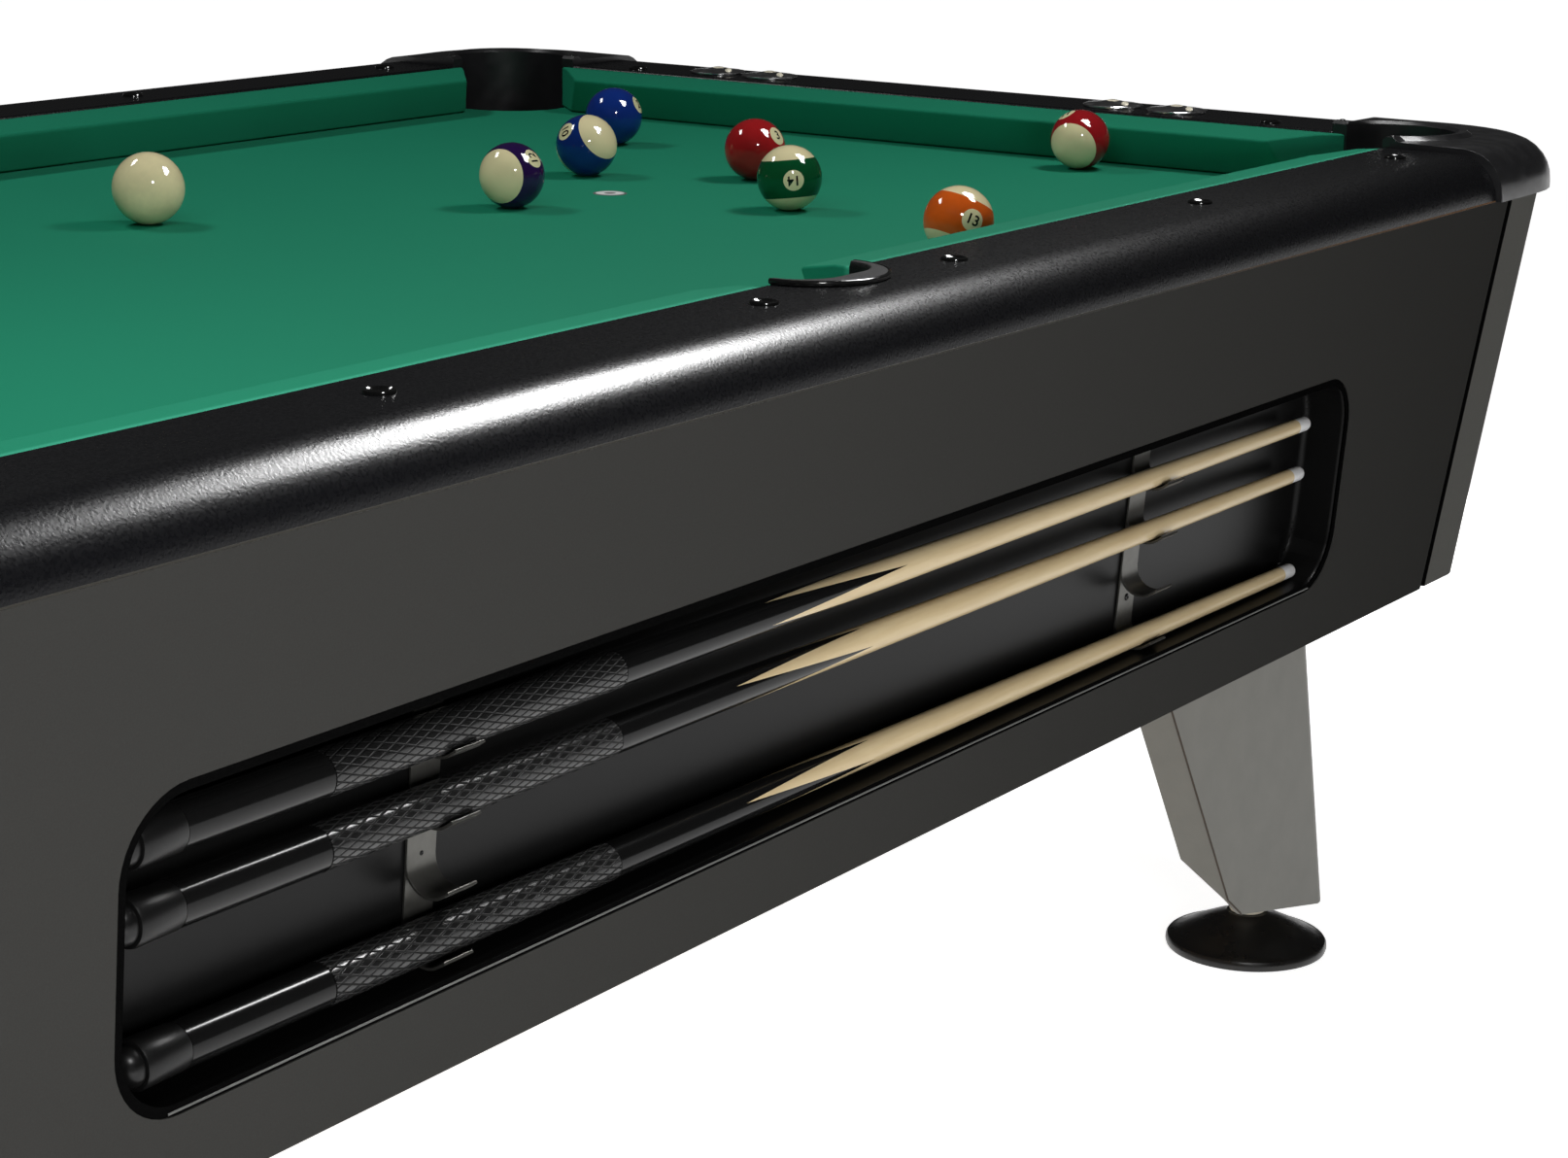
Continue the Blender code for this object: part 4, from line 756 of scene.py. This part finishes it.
# Balls: cast phenolic, ground and polished; the stripes go right round. The figures sit in pale discs, one
# on each side. A row gives the colour, the stripe's pole and the disc's place, as right, up and towards
# the camera.
CREAM = (0.80, 0.71, 0.42)
STRIPE_HALF = 0.574
DISC_R = 0.0098
DISC_LIFT = 0.00006
FIGURE_SIZE = 0.0125
FIGURE_BOLD = 0.00025
FIGURE_LIFT = 0.00012
BALLS = (
    ("ball_cue", CREAM, None, None),
    ("ball_02", (0.006, 0.030, 0.22), None, (0.86, 0.42, 0.29)),
    ("ball_03", (0.36, 0.012, 0.014), None, (0.73, 0.45, 0.51)),
    ("ball_10", (0.004, 0.024, 0.16), (0.645, 0.492, 0.588), (-0.711, 0.459, 0.533)),
    ("ball_11", (0.33, 0.010, 0.014), (-0.377, -0.377, 0.846), (-0.461, 0.869, 0.182)),
    ("ball_12", (0.020, 0.006, 0.060), (-0.577, -0.050, 0.815), (0.661, 0.535, 0.526)),
    ("ball_13", (0.65, 0.105, 0.010), (0.364, 0.904, -0.182), (0.395, 0.026, 0.918)),
    ("ball_14", (0.002, 0.075, 0.022), (0.080, -0.990, -0.050), (0.130, -0.083, 0.988)),
)
disc_cream = finish("disc_cream", (0.80, 0.74, 0.44), 0.08, specular=0.55)
grain(disc_cream, 0.002, 0.000002, 0.03)
figure_black = finish("figure_black", (0.004, 0.004, 0.004), 0.10, specular=0.55)
grain(figure_black, 0.001, 0.000002)


def lie_on(piece, name, ball, lift, mat):
    piece.name = name
    bpy.ops.object.transform_apply(location=True, rotation=True, scale=True)
    wrap = piece.modifiers.new("lie", "SHRINKWRAP")
    wrap.target = ball
    wrap.wrap_mode = "ABOVE_SURFACE"
    wrap.offset = lift
    bpy.ops.object.modifier_apply(modifier="lie")
    bpy.ops.object.shade_smooth()
    piece.data.materials.append(mat)


for cad, colour, stripe, spot in BALLS:
    low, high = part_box(cad)
    centre = (Vector(low) + Vector(high)) / 2
    radius = (high[2] - low[2]) / 2
    resin = finish(cad + "_resin", colour, 0.06, specular=0.55)
    grain(resin, 0.006, 0.0000015, 0.04)
    uneven_gloss(resin, 0.008, 0.045, 0.075)
    bpy.ops.object.select_all(action="DESELECT")
    bpy.ops.mesh.primitive_uv_sphere_add(segments=96, ring_count=64, radius=radius, location=centre)
    ball = bpy.context.object
    ball.name = cad + "_sphere"
    bpy.ops.object.transform_apply(location=True, rotation=True, scale=True)
    bpy.ops.object.shade_smooth()
    ball.data.materials.append(resin)
    back = (EYE - centre).normalized()
    right = EYE_UP.cross(back).normalized()
    up = back.cross(right)
    if stripe:
        pole = right * stripe[0] + up * stripe[1] + back * stripe[2]
        turn = pole.to_track_quat("Z", "Y").to_euler()
        height = calc(resin, "ABSOLUTE", axes(resin, object_place(resin, centre, turn))[2])
        cap = calc(resin, "GREATER_THAN", height, radius * STRIPE_HALF)
        plain = surface(resin, "Base Color").links[0].from_socket
        blend(resin, cap, plain, CREAM)
    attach(ball, cad)
    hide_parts(cad)
    if not spot:
        continue
    out = right * spot[0] + up * spot[1] + back * spot[2]
    top = pole if stripe else up
    top = (top - out * top.dot(out)).normalized()
    for face, way in (("a", out.normalized()), ("b", -out.normalized())):
        turn = Matrix((top.cross(way), top, way)).transposed().to_euler()
        place = centre + way * (radius + 0.001)
        bpy.ops.object.select_all(action="DESELECT")
        bpy.ops.mesh.primitive_circle_add(vertices=48, radius=DISC_R, fill_type="TRIFAN", location=place)
        bpy.context.object.rotation_euler = turn
        bpy.ops.object.mode_set(mode="EDIT")
        bpy.ops.mesh.select_all(action="SELECT")
        bpy.ops.mesh.subdivide(number_cuts=4)
        bpy.ops.object.mode_set(mode="OBJECT")
        disc = bpy.context.object
        lie_on(disc, cad + "_disc_" + face, ball, DISC_LIFT, disc_cream)
        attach(disc, cad)
        bpy.ops.object.select_all(action="DESELECT")
        bpy.ops.object.text_add(location=place, rotation=turn)
        figure = bpy.context.object
        figure.data.body = str(int(cad[-2:]))
        figure.data.size = FIGURE_SIZE
        figure.data.offset = FIGURE_BOLD
        figure.data.align_x = "CENTER"
        figure.data.align_y = "CENTER"
        bpy.ops.object.convert(target="MESH")
        bpy.ops.object.mode_set(mode="EDIT")
        bpy.ops.mesh.select_all(action="SELECT")
        bpy.ops.mesh.quads_convert_to_tris()
        bpy.ops.mesh.subdivide(number_cuts=3)
        bpy.ops.object.mode_set(mode="OBJECT")
        lie_on(figure, cad + "_figure_" + face, ball, FIGURE_LIFT, figure_black)
        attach(figure, cad)


# Stage: one wide pale floor that keeps a soft shadow, and soft lamps round the table. Those that glint stand
# where the glints on the balls and the rail put them; the wide and the low ones only fill.
bpy.ops.object.select_all(action="DESELECT")
bpy.ops.mesh.primitive_plane_add(size=240.0, location=(0.0, 0.0, 0.0))
floor = bpy.context.object
floor.name = "studio_floor"
paper = finish("studio_paper", (0.80, 0.80, 0.80), 0.9, specular=0.1)
rays = node(paper, "ShaderNodeLightPath").outputs
seen = calc(paper, "MAXIMUM", rays["Is Camera Ray"], rays["Is Glossy Ray"])
shown = calc(paper, "MAXIMUM", seen, rays["Is Transmission Ray"])
away = node(paper, "ShaderNodeVectorMath", operation="LENGTH")
join(paper, object_place(paper), away.inputs[0])
pale = remap(paper, away.outputs["Value"], (1.4, 3.0), (0.88, 1.0))
surface(paper, "Emission Color").default_value = (1.0, 1.0, 1.0, 1.0)
join(paper, calc(paper, "MULTIPLY", shown, pale), surface(paper, "Emission Strength"))
floor.data.materials.append(paper)


def lamp(name, place, aim, size, power, glint=True, fill=True):
    bpy.ops.object.light_add(type="AREA", location=place)
    light = bpy.context.object
    light.name = name
    light.data.shape = "RECTANGLE"
    light.data.size = size[0]
    light.data.size_y = size[1]
    light.data.energy = power
    light.visible_camera = False
    light.visible_glossy = glint
    light.visible_diffuse = fill
    light.rotation_euler = (Vector(aim) - Vector(place)).to_track_quat("-Z", "Y").to_euler()


lamp("lamp_back", (0.05, 1.45, 2.55), (0.3, 0.0, 0.76), (0.75, 0.30), 15.0)
lamp("lamp_right", (1.10, -0.62, 1.90), (0.0, -0.3, 0.76), (0.34, 0.24), 8.0)
lamp("lamp_streak", (0.90, -0.72, 1.95), (-0.3, -0.6, 0.76), (0.80, 0.32), 41.0, fill=False)
lamp("lamp_camera", (-0.95, -1.65, 1.80), (-0.1, -0.3, 0.70), (0.20, 0.20), 14.0, fill=False)
lamp("lamp_front", (-1.3, -2.6, 0.75), (-0.2, -0.6, 0.55), (1.0, 0.8), 42.0, glint=False)
lamp("lamp_rear_low", (0.2, 2.8, 0.45), (0.0, 0.6, 0.50), (1.2, 0.6), 26.0, glint=False)
lamp("lamp_head_low", (-3.1, 0.2, 0.42), (-1.1, 0.1, 0.50), (0.9, 0.5), 18.0, glint=False)
lamp("lamp_foot_low", (3.1, 0.4, 0.42), (1.1, 0.2, 0.50), (0.9, 0.5), 18.0, glint=False)
lamp("lamp_near", (-0.7, -0.5, 1.6), (-0.6, -0.4, 0.76), (1.0, 0.8), 7.0, glint=False)
world = bpy.data.worlds.new("studio")
bpy.context.scene.world = world
world.use_nodes = True
backdrop = world.node_tree.nodes["Background"]
backdrop.inputs["Color"].default_value = (1.0, 1.0, 1.0, 1.0)
backdrop.inputs["Strength"].default_value = 0.02
bpy.context.scene.view_settings.view_transform = "Standard"
